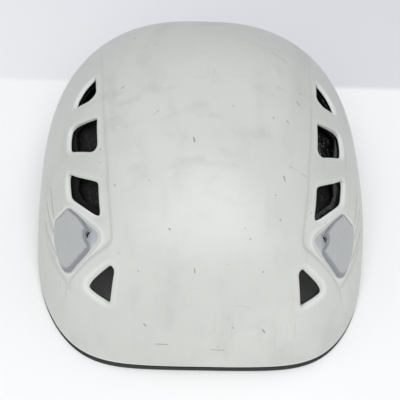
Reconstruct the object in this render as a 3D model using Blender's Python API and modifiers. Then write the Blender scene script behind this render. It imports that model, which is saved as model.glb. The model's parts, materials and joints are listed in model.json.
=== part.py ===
"""Climbing helmet: moulded shell, foam crown liner, sizing headband and chin harness.

Metres, +Z up, front of the helmet towards -Y. The origin is on the floor under the
middle of the rim. The shell's outer skin follows one dome formula, and every piece
that follows the shell (liner, trim, clip plates, pads) is an offset of that dome.
"""

import math

import bmesh
import bpy
from mathutils import Matrix, Vector

# --- Shell -------------------------------------------------------------------
HALF_WIDTH = 0.1125          # half of the shell's width at the rim
FRONT_REACH = 0.1436         # rim to centre, forwards
REAR_REACH = 0.1410          # rim to centre, backwards
CROWN_HEIGHT = 0.1399        # top of the shell above the floor
WALL = 0.0025                # shell wall
SIDE_FULLNESS = 2.53         # how upright the sides stay before they turn over
FRONT_FULLNESS = 2.13
REAR_FULLNESS = 1.65
RIM_SQUARENESS = 3.17        # plan shape at the front rim, where 2 is an ellipse
CROWN_SQUARENESS = 2.63      # plan shape higher up
CORNER_SWELL = 0.0035        # how far the brim's front corners stand out
CORNER_ANGLE = 0.482         # where they are, in radians from the front
FRONT_EDGE_LIFT = 0.0040     # height of the shell's edge over the floor at the front
SIDE_EDGE_LIFT = 0.0015      # and along the sides and back
AROUND = 48                  # facets round the dome
UPWARD = 12                  # facets from rim to crown

# --- Fits --------------------------------------------------------------------
GAP = 0.0004                 # between pieces that rest on each other
SLACK = 0.0003               # radial play of a pin in its hole

# --- Rim trim and crown liner --------------------------------------------------
TRIM_LEG_HEIGHT = 0.0095     # how far the trim climbs inside the shell
TRIM_LEG = 0.0016            # thickness of that leg
TRIM_PLAY = 0.0010           # between that leg and the shell
LIP_GAP = 0.0009             # between its lip and the shell's edge
LINER_THICKNESS = 0.0140
LINER_EDGE = 0.0700          # height of the liner's lower edge
PAD_THICKNESS = 0.0050

# --- Vent shutters -------------------------------------------------------------
SHUTTER_THICKNESS = 0.0015
SHUTTER_INNER_X = 0.0645     # edge of a shutter nearer the middle, at the drawn width
SHUTTER_OUTER_X = 0.0915
SHUTTER_AXIS_Y = -0.0060     # the cross axis that both shutters swing about
SHUTTER_AXIS_Z = -0.0300
SHUTTER_FRONT_DEG = -38.5    # ends of a shutter, in degrees from upright
SHUTTER_REAR_DEG = 12.0
SHUTTER_TRAVEL_DEG = 7.5
SHUTTER_CLEARANCE = 0.0014
SHUTTER_PLAY = 0.0010        # room round a shutter in the liner

# --- Clip plates -----------------------------------------------------------------
CLIP_THICKNESS = 0.0013
CLIP_DEPTH = 0.0002          # plate face under the shell's skin
STUD_RADIUS = 0.0022

# --- Headband, yoke and nape cradle ------------------------------------------------
HEAD_HALF_WIDTH = 0.0780     # headband centreline, sideways
HEAD_FRONT = 0.1000          # headband centreline, forwards
BAND_THICKNESS = 0.0020
BAND_LOW, BAND_HIGH = 0.0300, 0.0560
BAND_ARM_END = 0.0320        # rear end of the headband's side arms
YOKE_THICKNESS = 0.0016
YOKE_LOW, YOKE_HIGH = 0.0330, 0.0530
YOKE_STRAIGHT = 0.0080       # straight part of the yoke behind its pivots
YOKE_REAR = 0.0460           # and the reach of its curve behind that
SIZE_TRAVEL = 0.0100         # yoke travel each way from the middle size
CRADLE_THICKNESS = 0.0020
CRADLE_LOW, CRADLE_HIGH = 0.0120, 0.0300
CRADLE_REAR = 0.0440
PIVOT_Y, PIVOT_Z = 0.0500, 0.0430
PIVOT_RADIUS = 0.0020

# --- Size wheels, pinions and racks --------------------------------------------------
MODULE = 0.00125
PINION_TEETH = 8
WHEEL_RADIUS = 0.0150
WHEEL_THICKNESS = 0.0060
WHEEL_GRIPS = 18
WHEEL_Y = 0.0200
AXLE_RADIUS = 0.0015
CHEEK = 0.0016               # outer wall of a wheel housing

# --- Chin harness ----------------------------------------------------------------
WEB_WIDTH = 0.0150
WEB_THICKNESS = 0.0018
STRAP_Z = 0.0180             # mid height of the webbing along the sides
FRONT_STRAP_Z = 0.0270       # and at the front, where the buckle lies
BUCKLE_WIDTH = 0.0210        # across the webbing
BUCKLE_DEPTH = 0.0110
BUCKLE_WALL = 0.0022
BUCKLE_LENGTH = 0.0243
DIVIDER_X, DIVIDER_Y = HALF_WIDTH - 0.0225, -0.0120

PITCH_RADIUS = MODULE * PINION_TEETH / 2
TOOTH_PITCH = math.pi * MODULE
YOKE_X = HEAD_HALF_WIDTH + BAND_THICKNESS / 2 + 0.0015 + YOKE_THICKNESS / 2
HOUSING_X = YOKE_X + YOKE_THICKNESS / 2 + 0.0008
WHEEL_X = HOUSING_X + CHEEK + GAP
CRADLE_X = YOKE_X - YOKE_THICKNESS / 2 - GAP - CRADLE_THICKNESS / 2
SIDES = (("left", -1), ("right", 1))

PARTS = "climbing_helmet"
CUTTERS = "helmet_cutters"


# --- Scene helpers ---------------------------------------------------------------

def clear_scene():
    for obj in list(bpy.data.objects):
        bpy.data.objects.remove(obj, do_unlink=True)
    for name in (PARTS, CUTTERS):
        group = bpy.data.collections.new(name)
        bpy.context.scene.collection.children.link(group)


def finish(name, color, roughness=0.5, metallic=0.0):
    """A plain Principled material, made once."""
    material = bpy.data.materials.get(name)
    if material is None:
        material = bpy.data.materials.new(name)
        material.use_nodes = True
        shader = material.node_tree.nodes["Principled BSDF"]
        shader.inputs["Base Color"].default_value = (*color, 1.0)
        shader.inputs["Roughness"].default_value = roughness
        shader.inputs["Metallic"].default_value = metallic
    return material


SHELL_GREY = ("shell_abs", (0.62, 0.64, 0.60), 0.38)
CLIP_GREY = ("clip_plastic", (0.45, 0.48, 0.49), 0.42)
BLACK_RUBBER = ("trim_rubber", (0.02, 0.02, 0.02), 0.6)
FOAM_CHARCOAL = ("liner_foam", (0.05, 0.05, 0.052), 0.85)
BLACK_FILM = ("shutter_plastic", (0.02, 0.02, 0.022), 0.25)
HARNESS_GREY = ("harness_plastic", (0.12, 0.12, 0.125), 0.45)
WEBBING = ("webbing", (0.16, 0.17, 0.18), 0.8)
PADDING = ("pad_fabric", (0.04, 0.04, 0.042), 0.95)
STEEL = ("pin_steel", (0.6, 0.6, 0.6), 0.3, 1.0)
BUCKLE_BLACK = ("buckle_plastic", (0.03, 0.03, 0.03), 0.4)


def add(name, mesh, look=None, smooth=None):
    """Puts a mesh in the scene: a part when it has a look, otherwise a cutter."""
    obj = bpy.data.objects.new(name, mesh)
    bpy.data.collections[PARTS if look else CUTTERS].objects.link(obj)
    if look:
        mesh.materials.clear()
        mesh.materials.append(finish(*look))
        if smooth:
            mesh.shade_smooth()
            mesh.set_sharp_from_angle(angle=math.radians(smooth))
    else:
        obj.hide_render = True
        obj.display_type = "WIRE"
    return obj


def mesh_from(bm, name):
    """Turns all faces outwards and makes the mesh."""
    bmesh.ops.recalc_face_normals(bm, faces=bm.faces)
    if bm.calc_volume(signed=True) < 0:
        bmesh.ops.reverse_faces(bm, faces=bm.faces)
    mesh = bpy.data.meshes.new(name)
    bm.to_mesh(mesh)
    bm.free()
    return mesh


def boolean(obj, cutter, operation="DIFFERENCE", solver="EXACT"):
    modifier = obj.modifiers.new(f"{operation.lower()} {cutter.name}", "BOOLEAN")
    modifier.operation = operation
    modifier.object = cutter
    modifier.solver = solver
    return obj


def solidify(obj, thickness, offset=-1.0):
    modifier = obj.modifiers.new("wall", "SOLIDIFY")
    modifier.thickness = thickness
    modifier.offset = offset
    modifier.use_even_offset = True
    return obj


def baked(obj):
    """Applies an object's modifiers by swapping in its evaluated mesh."""
    graph = bpy.context.evaluated_depsgraph_get()
    mesh = bpy.data.meshes.new_from_object(obj.evaluated_get(graph))
    obj.modifiers.clear()
    if obj.type == "MESH":
        obj.data = mesh
        return obj
    bm = bmesh.new()
    bm.from_mesh(mesh)
    bmesh.ops.remove_doubles(bm, verts=bm.verts, dist=1e-6)
    solid = add(obj.name + ".solid", mesh_from(bm, obj.name))
    solid.matrix_world = obj.matrix_world
    bpy.data.objects.remove(obj, do_unlink=True)
    return solid


def mirrored(obj, name):
    """The same piece on the other side of the helmet, with its modifiers applied."""
    mesh = baked(obj).data.copy()
    mesh.transform(Matrix.Scale(-1, 4, (1, 0, 0)))
    mesh.flip_normals()
    return add(name, mesh, LOOKS[obj.name])


LOOKS = {}


def part(name, mesh, look, smooth=None):
    LOOKS[name] = look
    return add(name, mesh, look, smooth)


# --- Dome ----------------------------------------------------------------------------

def dome_radius(angle, height):
    """Distance of the outer skin from the middle, at an angle from the front."""
    c, s = math.cos(angle), math.sin(angle)
    front, rear = max(c, 0.0) ** 2, max(-c, 0.0) ** 2
    fullness = FRONT_FULLNESS * front + REAR_FULLNESS * rear
    fullness += SIDE_FULLNESS * (1 - front - rear)
    level = min(max(height / CROWN_HEIGHT, 0.0), 1.0)
    rim_share = math.exp(-max(height, 0.0) / 0.040) * (1.0 if c > 0 else 0.3)
    square = (CROWN_SQUARENESS - 2) + (RIM_SQUARENESS - CROWN_SQUARENESS) * rim_share
    power = 2 + square * (1 - level ** 6)
    reach = FRONT_REACH if c > 0 else REAR_REACH
    plan = (abs(s / HALF_WIDTH) ** power + abs(c / reach) ** power) ** (-1 / power)
    swell = math.exp(-(((abs(angle) - CORNER_ANGLE) / 0.2) ** 2)) * math.exp(-height / 0.030)
    return plan * math.sqrt(max(1 - level ** fullness, 0.0)) + CORNER_SWELL * swell


def dome_skin(angle, height):
    radius = dome_radius(angle, height)
    return Vector((radius * math.sin(angle), -radius * math.cos(angle), height))


def dome_point(angle, height, offset=0.0):
    """A point on the dome, moved out by offset along the skin's normal."""
    step = 1e-4
    height = min(height, CROWN_HEIGHT * 0.99995)
    point = dome_skin(angle, height)
    if height > CROWN_HEIGHT * 0.999:
        return point + Vector((0, 0, offset))
    around = dome_skin(angle + step, height) - dome_skin(angle - step, height)
    upward = dome_skin(angle, height + step * 0.05) - dome_skin(angle, height - step * 0.05)
    return point + around.cross(upward).normalized() * offset


def edge_height(angle):
    """Height of the shell's lower edge, which lifts at the front."""
    front = math.exp(-((angle / 0.62) ** 4))
    return SIDE_EDGE_LIFT + (FRONT_EDGE_LIFT - SIDE_EDGE_LIFT) * front


def dome_surface(name, offset, low=None, around=AROUND, upward=UPWARD):
    """The upper half of a sphere, mapped to an offset of the dome; open at the bottom."""
    bm = bmesh.new()
    bmesh.ops.create_uvsphere(bm, u_segments=around, v_segments=2 * upward, radius=1.0)
    below = [v for v in bm.verts if v.co.z < -1e-6]
    bmesh.ops.delete(bm, geom=below, context="VERTS")
    for vert in bm.verts:
        flat = math.hypot(vert.co.x, vert.co.y)
        if flat < 1e-6:
            vert.co = Vector((0, 0, CROWN_HEIGHT + offset))
            continue
        angle = math.atan2(vert.co.x, -vert.co.y)
        bottom = edge_height(angle) if low is None else low
        rise = math.asin(min(vert.co.z, 1.0)) / (math.pi / 2)
        start = math.asin(min(bottom / CROWN_HEIGHT, 1.0)) / (math.pi / 2)
        height = CROWN_HEIGHT * math.sin((start + (1 - start) * rise) * math.pi / 2)
        vert.co = dome_point(angle, height, offset)
    return mesh_from(bm, name)


def dome_layer(name, offset, thickness, low=None, look=None, **grid):
    """A closed layer that follows the dome, from offset inwards by thickness."""
    mesh = dome_surface(name, offset, low, **grid)
    obj = part(name, mesh, look, 40) if look else add(name, mesh)
    return solidify(obj, thickness)


# --- Sketches on the shell -------------------------------------------------------------

class Sketch:
    """A plane through the origin that faces the shell from outside.

    Its u runs to the right and its v upwards, seen from outside. Outlines are drawn
    for the drawn shell size and grow with the shell.
    """

    def __init__(self, azimuth, elevation):
        a, e = math.radians(azimuth), math.radians(elevation)
        self.normal = Vector((math.sin(a) * math.cos(e), -math.cos(a) * math.cos(e), math.sin(e)))
        self.right = Vector((math.cos(a), math.sin(a), 0))
        self.up = self.normal.cross(self.right)

    def prism(self, name, outline, near=0.05, far=0.20):
        """A solid that runs through the shell over an outline of (u, v) in millimetres."""
        curve = bpy.data.curves.new(name, "CURVE")
        curve.dimensions = "2D"
        curve.fill_mode = "BOTH"
        curve.extrude = (far - near) / 2
        spline = curve.splines.new("POLY")
        spline.points.add(len(outline) - 1)
        for point, (u, v) in zip(spline.points, outline):
            point.co = (u / 1000, v / 1000, 0, 1)
        spline.use_cyclic_u = True
        obj = bpy.data.objects.new(name, curve)
        bpy.data.collections[CUTTERS].objects.link(obj)
        rotation = Matrix((self.right, self.up, self.normal)).transposed().to_4x4()
        scale = Matrix.Diagonal((*SHELL_SCALE, 1))
        place = Matrix.Translation(self.normal * (near + far) / 2)
        obj.matrix_world = scale @ place @ rotation
        bpy.context.view_layer.update()
        return baked(obj)


DRAWN_SHELL = Vector((0.1125, 0.1436, 0.1399))    # half width, front reach and height as drawn
SHELL_SCALE = Vector((HALF_WIDTH / DRAWN_SHELL.x, FRONT_REACH / DRAWN_SHELL.y,
                      CROWN_HEIGHT / DRAWN_SHELL.z))

SIDE_SKETCH = Sketch(80, 42)
CORNER_SKETCH = Sketch(30, 32)
CLIP_SKETCH = Sketch(52, 28)
REAR_CLIP_SKETCH = Sketch(140, 28)

VENTS = {
    "rear": [(27.6, 35.6), (9.6, 35.3), (6.9, 33.2), (6.6, 29.5), (13.4, 14.9), (19.2, 16.8),
             (24.3, 23.8)],
    "middle": [(-15.2, 33.2), (-5.8, 14.0), (-5.1, 8.6), (-12.4, 6.1), (-20.9, 4.9), (-24.0, 6.8),
               (-38.2, 22.6), (-39.3, 25.6), (-37.4, 28.3)],
    "front": [(-38.3, -0.3), (-47.0, 6.3), (-60.0, 18.4), (-62.2, 19.3), (-78.1, 11.4),
              (-79.2, 9.0), (-76.7, 6.6), (-57.2, -4.3), (-53.7, -5.5), (-43.0, -2.6)],
}
CORNER_VENT = [(-6.2, -11.3), (-8.9, -12.1), (-10.1, -14.0), (-12.4, -34.4), (-11.3, -35.8),
               (-1.5, -34.5), (4.8, -33.1), (5.5, -31.4), (3.8, -26.6), (-0.9, -19.2)]
CLIP_OUTLINE = [(-5.2, 14.5), (-17.2, 17.3), (-34.5, 18.6), (-39.0, 17.4), (-41.4, 14.4),
                (-41.8, 8.3), (-33.1, -16.7), (-29.0, -21.9), (-23.0, -24.2), (-16.6, -22.0),
                (-3.2, -13.0), (3.2, -2.4), (-1.5, 4.8)]
CLIP_CHANNEL = [(-30.7, 13.9), (-28.6, 11.3), (-28.8, 9.1), (-31.0, 7.2), (-35.0, 6.5),
                (-37.2, 4.0), (-36.1, -1.5), (-33.4, -9.8), (-36.6, -11.0), (-39.6, 0.0),
                (-40.0, 9.0), (-38.5, 14.5), (-34.5, 16.2)]


def grown(outline, amount):
    """An outline moved outwards by an amount in millimetres, corner by corner."""
    area = sum(a[0] * b[1] - b[0] * a[1] for a, b in zip(outline, outline[1:] + outline[:1]))
    side = 1 if area > 0 else -1
    result = []
    for i, (u, v) in enumerate(outline):
        before, after = outline[i - 1], outline[(i + 1) % len(outline)]
        along_in = Vector((u - before[0], v - before[1])).normalized()
        along_out = Vector((after[0] - u, after[1] - v)).normalized()
        out_in = Vector((along_in.y, -along_in.x)) * side
        out_out = Vector((along_out.y, -along_out.x)) * side
        corner = (out_in + out_out).normalized()
        stretch = amount / max(corner.dot(out_in), 0.5)
        result.append((u + corner.x * stretch, v + corner.y * stretch))
    return result


def both_sides(obj):
    """The cutter and its copy on the helmet's other side."""
    mesh = obj.data.copy()
    mesh.transform(Matrix.Scale(-1, 4, (1, 0, 0)) @ obj.matrix_world)
    mesh.flip_normals()
    return obj, add(obj.name + ".mirror", mesh)


# --- Plain solids ----------------------------------------------------------------------

def box(name, size, place, look=None, bevel=0.0):
    bm = bmesh.new()
    bmesh.ops.create_cube(bm, size=1.0)
    bmesh.ops.scale(bm, vec=size, verts=bm.verts)
    bmesh.ops.translate(bm, vec=place, verts=bm.verts)
    mesh = mesh_from(bm, name)
    obj = part(name, mesh, look) if look else add(name, mesh)
    if bevel:
        modifier = obj.modifiers.new("edges", "BEVEL")
        modifier.width = bevel
        modifier.segments = 1
    return obj


def cylinder(name, radius, start, end, look=None, segments=20):
    """A cylinder between two points."""
    start, end = Vector(start), Vector(end)
    bm = bmesh.new()
    bmesh.ops.create_cone(bm, cap_ends=True, segments=segments, radius1=radius,
                          radius2=radius, depth=(end - start).length)
    turn = Vector((0, 0, 1)).rotation_difference(end - start).to_matrix().to_4x4()
    bm.transform(Matrix.Translation((start + end) / 2) @ turn)
    mesh = mesh_from(bm, name)
    return part(name, mesh, look, 30) if look else add(name, mesh)


def turned(name, profile, place, look, segments=14):
    """A pin turned about X: profile lists (radius, position along X) from end to end."""
    bm = bmesh.new()
    points = [(0.0, profile[0][1]), *profile, (0.0, profile[-1][1])]
    verts = [bm.verts.new((x, 0, r)) for r, x in points]
    for a, b in zip(verts, verts[1:]):
        bm.edges.new((a, b))
    bmesh.ops.spin(bm, geom=bm.verts[:] + bm.edges[:], cent=(0, 0, 0), axis=(1, 0, 0),
                   angle=math.tau, steps=segments, use_merge=True)
    bmesh.ops.remove_doubles(bm, verts=bm.verts, dist=1e-6)
    bmesh.ops.translate(bm, vec=place, verts=bm.verts)
    return part(name, mesh_from(bm, name), look, 30)


def strip(name, points, width, thickness, look=None, across=None):
    """A flat strip along points: webbing on edge, or a band that follows the head."""
    bm = bmesh.new()
    across = across or Vector((0, 0, 1))
    lower = [bm.verts.new(Vector(p) - across * width / 2) for p in points]
    edges = [bm.edges.new(pair) for pair in zip(lower, lower[1:])]
    made = bmesh.ops.extrude_edge_only(bm, edges=edges)["geom"]
    upper = [item for item in made if isinstance(item, bmesh.types.BMVert)]
    bmesh.ops.translate(bm, vec=across * width, verts=upper)
    mesh = bpy.data.meshes.new(name)
    bm.to_mesh(mesh)
    bm.free()
    obj = part(name, mesh, look, 40) if look else add(name, mesh)
    return solidify(obj, thickness, 0.0)


def smooth_path(points, pieces):
    """A path through the points (Catmull-Rom), with even steps between them."""
    points = [Vector(p) for p in points]
    padded = [2 * points[0] - points[1], *points, 2 * points[-1] - points[-2]]
    path = []
    for a, b, c, d in zip(padded, padded[1:], padded[2:], padded[3:]):
        for i in range(pieces):
            t = i / pieces
            path.append(0.5 * (2 * b + (c - a) * t + (2 * a - 5 * b + 4 * c - d) * t * t
                               + (3 * b - a - 3 * c + d) * t ** 3))
    path.append(points[-1])
    return path


# --- Shell group -----------------------------------------------------------------------

def make_shell():
    shell = dome_layer("shell", 0.0, WALL, look=SHELL_GREY)
    for name, outline in VENTS.items():
        for cutter in both_sides(SIDE_SKETCH.prism(f"vent {name}", outline)):
            boolean(shell, cutter)
    for cutter in both_sides(CORNER_SKETCH.prism("corner vent", CORNER_VENT)):
        boolean(shell, cutter)
    depth = CLIP_DEPTH + CLIP_THICKNESS + GAP
    for sketch, where in ((CLIP_SKETCH, "front"), (REAR_CLIP_SKETCH, "rear")):
        recess = dome_layer(f"clip recess {where}", 0.004, 0.004 + depth)
        outline = clip_outline(where)
        boolean(recess, sketch.prism(f"clip area {where}", grown(outline, 0.4)), "INTERSECT")
        for cutter in both_sides(baked(recess)):
            boolean(shell, cutter)
        for cutter in both_sides(clip_stud(f"clip hole {where}", sketch, where, SLACK)):
            boolean(shell, cutter)
    return shell


def clip_outline(where):
    """The front plate's outline, and the rear one, which is drawn the other way round."""
    if where == "front":
        return CLIP_OUTLINE
    return [(-15.0 - u, v) for u, v in reversed(CLIP_OUTLINE)]


def clip_stud(name, sketch, where, play):
    """The snap stud under a clip plate, or with play the hole that it goes through."""
    u, v = (-0.012, -0.004) if where == "front" else (-0.003, -0.004)
    hit = None
    for step in range(400):
        along = 0.10 + step * 0.0002
        point = sketch.right * u + sketch.up * v + sketch.normal * along
        point = Vector(a * b for a, b in zip(point, SHELL_SCALE))
        angle = math.atan2(point.x, -point.y)
        if math.hypot(point.x, point.y) > dome_radius(angle, point.z):
            hit = dome_point(angle, point.z, 0.0)
            skin = (dome_point(angle, point.z, 0.001) - hit).normalized()
            break
    inner = WALL + 0.0015 + 2 * play
    outer = CLIP_DEPTH + CLIP_THICKNESS * (0.5 if not play else -2)
    return cylinder(name, STUD_RADIUS + play, hit - skin * inner, hit - skin * outer, None, 14)


def make_clips():
    for sketch, where in ((CLIP_SKETCH, "front"), (REAR_CLIP_SKETCH, "rear")):
        name = f"clip_{where}_right"
        plate = dome_layer(name, -CLIP_DEPTH, CLIP_THICKNESS, look=CLIP_GREY)
        outline = clip_outline(where)
        boolean(plate, sketch.prism(f"plate {where}", outline), "INTERSECT")
        channel = CLIP_CHANNEL if where == "front" else [(-15.0 - u, v) for u, v in reversed(CLIP_CHANNEL)]
        boolean(plate, sketch.prism(f"channel {where}", channel))
        boolean(plate, clip_stud(f"stud {where}", sketch, where, 0.0), "UNION")
        mirrored(plate, f"clip_{where}_left")


def make_trim():
    """Rubber edging: a lip under the shell's edge and a leg up its inner face."""
    bm = bmesh.new()
    rings = []
    for i in range(AROUND):
        angle = math.tau * i / AROUND
        edge = edge_height(angle) - LIP_GAP
        leg = WALL + TRIM_PLAY
        section = ((-GAP, 0.0), (-GAP, edge), (-leg, edge), (-leg, TRIM_LEG_HEIGHT),
                   (-leg - TRIM_LEG, TRIM_LEG_HEIGHT), (-leg - TRIM_LEG, 0.0))
        ring = []
        for offset, height in section:
            point = dome_point(angle, height, offset)
            ring.append(bm.verts.new((point.x, point.y, height)))
        rings.append(ring)
    for ring, after in zip(rings, rings[1:] + rings[:1]):
        for j in range(len(ring)):
            k = (j + 1) % len(ring)
            bm.faces.new((ring[j], after[j], after[k], ring[k]))
    part("rim_trim", mesh_from(bm, "rim_trim"), BLACK_RUBBER)


# --- Shutters ----------------------------------------------------------------------------

def shutter_radius(x):
    """Largest radius about the shutter axis that stays inside the shell all the way."""
    least = 1.0
    low = SHUTTER_FRONT_DEG - 1.0
    high = SHUTTER_REAR_DEG + SHUTTER_TRAVEL_DEG + 1.0
    for step in range(30):
        turn = math.radians(low + (high - low) * step / 29)
        reach = 0.05
        while reach < 0.3:
            y = SHUTTER_AXIS_Y * SHELL_SCALE.y + math.sin(turn) * reach
            z = SHUTTER_AXIS_Z * SHELL_SCALE.z + math.cos(turn) * reach
            angle = math.atan2(x, -y)
            if z >= CROWN_HEIGHT or math.hypot(x, y) > dome_radius(angle, max(z, 0.0)):
                break
            reach += 0.0004
        least = min(least, reach)
    slope = 1.35 if x > 0.075 * SHELL_SCALE.x else 1.15
    return least - (WALL + SHUTTER_CLEARANCE) * slope - 0.0006


def shutter_solid(name, above, below, front, rear, play=0.0, look=None):
    """A curved plate about the shutter axis: a profile across X, spun about that axis."""
    columns, steps = 6, 11
    inner, outer = SHUTTER_INNER_X * SHELL_SCALE.x, SHUTTER_OUTER_X * SHELL_SCALE.x
    xs = [inner + (outer - inner) * i / (columns - 1) for i in range(columns)]
    profile = [(x, shutter_radius(x)) for x in xs]
    if play:
        profile = [(inner - play, profile[0][1]), *profile, (outer + play, profile[-1][1])]
    bm = bmesh.new()
    top = [bm.verts.new((x, 0, r + above)) for x, r in profile]
    bottom = [bm.verts.new((x, 0, r - below)) for x, r in profile]
    face = bm.faces.new(top + bottom[::-1])
    start = Matrix.Rotation(-math.radians(front), 3, "X")
    bmesh.ops.rotate(bm, cent=(0, 0, 0), matrix=start, verts=bm.verts)
    bmesh.ops.spin(bm, geom=[face], cent=(0, 0, 0), axis=(1, 0, 0),
                   angle=math.radians(front - rear), steps=steps)
    axis = (0, SHUTTER_AXIS_Y * SHELL_SCALE.y, SHUTTER_AXIS_Z * SHELL_SCALE.z)
    bmesh.ops.translate(bm, vec=axis, verts=bm.verts)
    mesh = mesh_from(bm, name)
    return part(name, mesh, look, 40) if look else add(name, mesh)


def make_shutters():
    plate = shutter_solid("shutter_right", 0.0, SHUTTER_THICKNESS, SHUTTER_FRONT_DEG,
                          SHUTTER_REAR_DEG, look=BLACK_FILM)
    windows = {
        "rear": [(28.0, 40.0), (6.0, 40.0), (6.0, 20.0), (13.0, 17.0), (20.0, 18.0), (26.0, 25.0)],
        "middle": [(-14.0, 36.0), (-6.5, 20.0), (-6.5, 10.5), (-24.0, 9.0), (-37.5, 22.0),
                   (-37.5, 32.0)],
        "front": [(-42.0, 5.5), (-60.0, 21.0), (-74.0, 15.5), (-74.0, 9.5), (-58.0, 1.0),
                  (-50.0, 0.5)],
    }
    for name, outline in windows.items():
        boolean(plate, SIDE_SKETCH.prism(f"window {name}", outline))
    mirrored(plate, "shutter_left")


# --- Liner and pads ------------------------------------------------------------------------

LINER_START = LINER_EDGE - 0.008    # the layer starts lower and is cut level
LINER_UPWARD = 6


def make_liner():
    top = -(WALL + GAP)
    liner = dome_layer("crown_liner", top, LINER_THICKNESS, LINER_START, FOAM_CHARCOAL,
                       upward=LINER_UPWARD)
    below = box("below liner", (0.5, 0.5, 0.1), (0, 0, LINER_EDGE - 0.05))
    boolean(liner, below, solver="MANIFOLD")
    play = SHUTTER_PLAY
    channel = shutter_solid("shutter channel", 0.008, SHUTTER_THICKNESS + play,
                            SHUTTER_FRONT_DEG - 0.6,
                            SHUTTER_REAR_DEG + SHUTTER_TRAVEL_DEG + 0.6, play)
    for cutter in both_sides(channel):
        boolean(liner, cutter, solver="MANIFOLD")
    for where, angle in HANGERS.items():
        for cutter in both_sides(hanger_pin(f"pin hole {where}", where, angle, SLACK)):
            boolean(liner, cutter, solver="MANIFOLD")
    for sketch, where in ((CLIP_SKETCH, "front"), (REAR_CLIP_SKETCH, "rear")):
        for cutter in both_sides(clip_stud(f"stud room {where}", sketch, where, 0.001)):
            boolean(liner, cutter, solver="MANIFOLD")


def make_crown_pads():
    """Two comfort pads under the liner, one ahead of the other."""
    offset = -(WALL + GAP + LINER_THICKNESS + GAP)
    for where, middle in (("front", -0.038), ("rear", 0.038)):
        name = f"pad_crown_{where}"
        pad = dome_layer(name, offset, PAD_THICKNESS, LINER_START, PADDING, upward=LINER_UPWARD)
        stamp = box(f"{name} stamp", (0.062, 0.056, 0.2), (0, middle, 0.10), bevel=0.010)
        boolean(pad, stamp, "INTERSECT")


# --- Headband and hangers --------------------------------------------------------------------

def head_arc(side_reach, front_reach, back, first, last, count, height):
    """Part of an ellipse round the head, centred at y = back; angles from the front."""
    points = []
    for i in range(count):
        a = math.radians(first + (last - first) * i / (count - 1))
        points.append((side_reach * math.sin(a), back - front_reach * math.cos(a), height))
    return points


BAND_BACK = -0.0200


def make_headband():
    middle = (BAND_LOW + BAND_HIGH) / 2
    arc = head_arc(HEAD_HALF_WIDTH, HEAD_FRONT + BAND_BACK, BAND_BACK, -90, 90, 29, middle)
    path = [(-HEAD_HALF_WIDTH, BAND_ARM_END, middle), *arc, (HEAD_HALF_WIDTH, BAND_ARM_END, middle)]
    band = strip("headband_front", path, BAND_HIGH - BAND_LOW, BAND_THICKNESS, HARNESS_GREY)
    hole = cylinder("band axle hole", AXLE_RADIUS + SLACK, (-0.2, WHEEL_Y, PIVOT_Z),
                    (0.2, WHEEL_Y, PIVOT_Z))
    boolean(band, hole)
    inner = HEAD_HALF_WIDTH - BAND_THICKNESS / 2 - GAP - PAD_THICKNESS / 2
    front = HEAD_FRONT + BAND_BACK - BAND_THICKNESS / 2 - GAP - PAD_THICKNESS / 2
    brow = head_arc(inner, front, BAND_BACK, -62, 62, 19, middle)
    strip("pad_brow", brow, BAND_HIGH - BAND_LOW - 0.002, PAD_THICKNESS, PADDING)


HANGERS = {"front": 38.0, "side": 72.0}
HANGER_THICKNESS = 0.0016
HANGER_WIDTH = 0.0120


def hanger_lug(angle):
    """Where a hanger meets the liner's lower edge, and the way out from the head there."""
    a = math.radians(angle)
    skin = dome_point(a, LINER_EDGE + 0.002, -(WALL + GAP + LINER_THICKNESS / 2))
    out = Vector((skin.x, skin.y - BAND_BACK, 0)).normalized()
    return Vector((skin.x, skin.y, LINER_EDGE - 0.0022)), out


def hanger_pin(name, where, angle, play, look=None):
    """The peg that holds a hanger's lug to the liner, or with play its blind hole."""
    place, _ = hanger_lug(angle)
    low = place - Vector((0, 0, HANGER_THICKNESS / 2 + GAP))
    high = place + Vector((0, 0, 0.0062 + play))
    peg = cylinder(name, 0.0018 + play, low - Vector((0, 0, 0.0006)), high, look, 12)
    if look:
        head = cylinder(f"{name} head", 0.0035, low - Vector((0, 0, 0.0012)), low, None, 12)
        boolean(peg, head, "UNION")
    return peg


def make_hangers():
    for where, angle in HANGERS.items():
        name = f"hanger_{where}_right"
        lug, out = hanger_lug(angle)
        a = math.atan2(out.x * (HEAD_FRONT + BAND_BACK), -out.y * HEAD_HALF_WIDTH)
        foot = Vector((HEAD_HALF_WIDTH * math.sin(a),
                       BAND_BACK - (HEAD_FRONT + BAND_BACK) * math.cos(a), 0))
        foot += out * (BAND_THICKNESS / 2 + GAP + HANGER_THICKNESS / 2)
        low = Vector((foot.x, foot.y, BAND_HIGH - 0.006))
        knee = Vector((foot.x, foot.y, BAND_HIGH + 0.001))
        inner_end = lug - out * 0.0045
        path = [low, knee, inner_end.lerp(knee, 0.18), inner_end, lug + out * 0.0045]
        across = Vector((-out.y, out.x, 0))
        hanger = strip(name, path, HANGER_WIDTH, HANGER_THICKNESS, HARNESS_GREY, across)
        hole = cylinder(f"{name} hole", 0.0018 + SLACK, lug - Vector((0, 0, 0.004)),
                        lug + Vector((0, 0, 0.004)), None, 12)
        boolean(hanger, hole)
        mirrored(hanger, f"hanger_{where}_left")
        pin = hanger_pin(f"hanger_pin_{where}_right", where, angle, 0.0, HARNESS_GREY)
        mirrored(pin, f"hanger_pin_{where}_left")


# --- Yoke, wheels and cradle ---------------------------------------------------------------------

SLOT_HALF = SIZE_TRAVEL + PITCH_RADIUS + MODULE + 0.0030
SLOT_TOP = PIVOT_Z + PITCH_RADIUS + MODULE + 0.0005
RACK_LINE = PIVOT_Z - PITCH_RADIUS
TOOTH_PLAY = 0.00012
ROOT_DEPTH = 1.25 * MODULE
FLANK = math.tan(math.radians(20))


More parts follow.
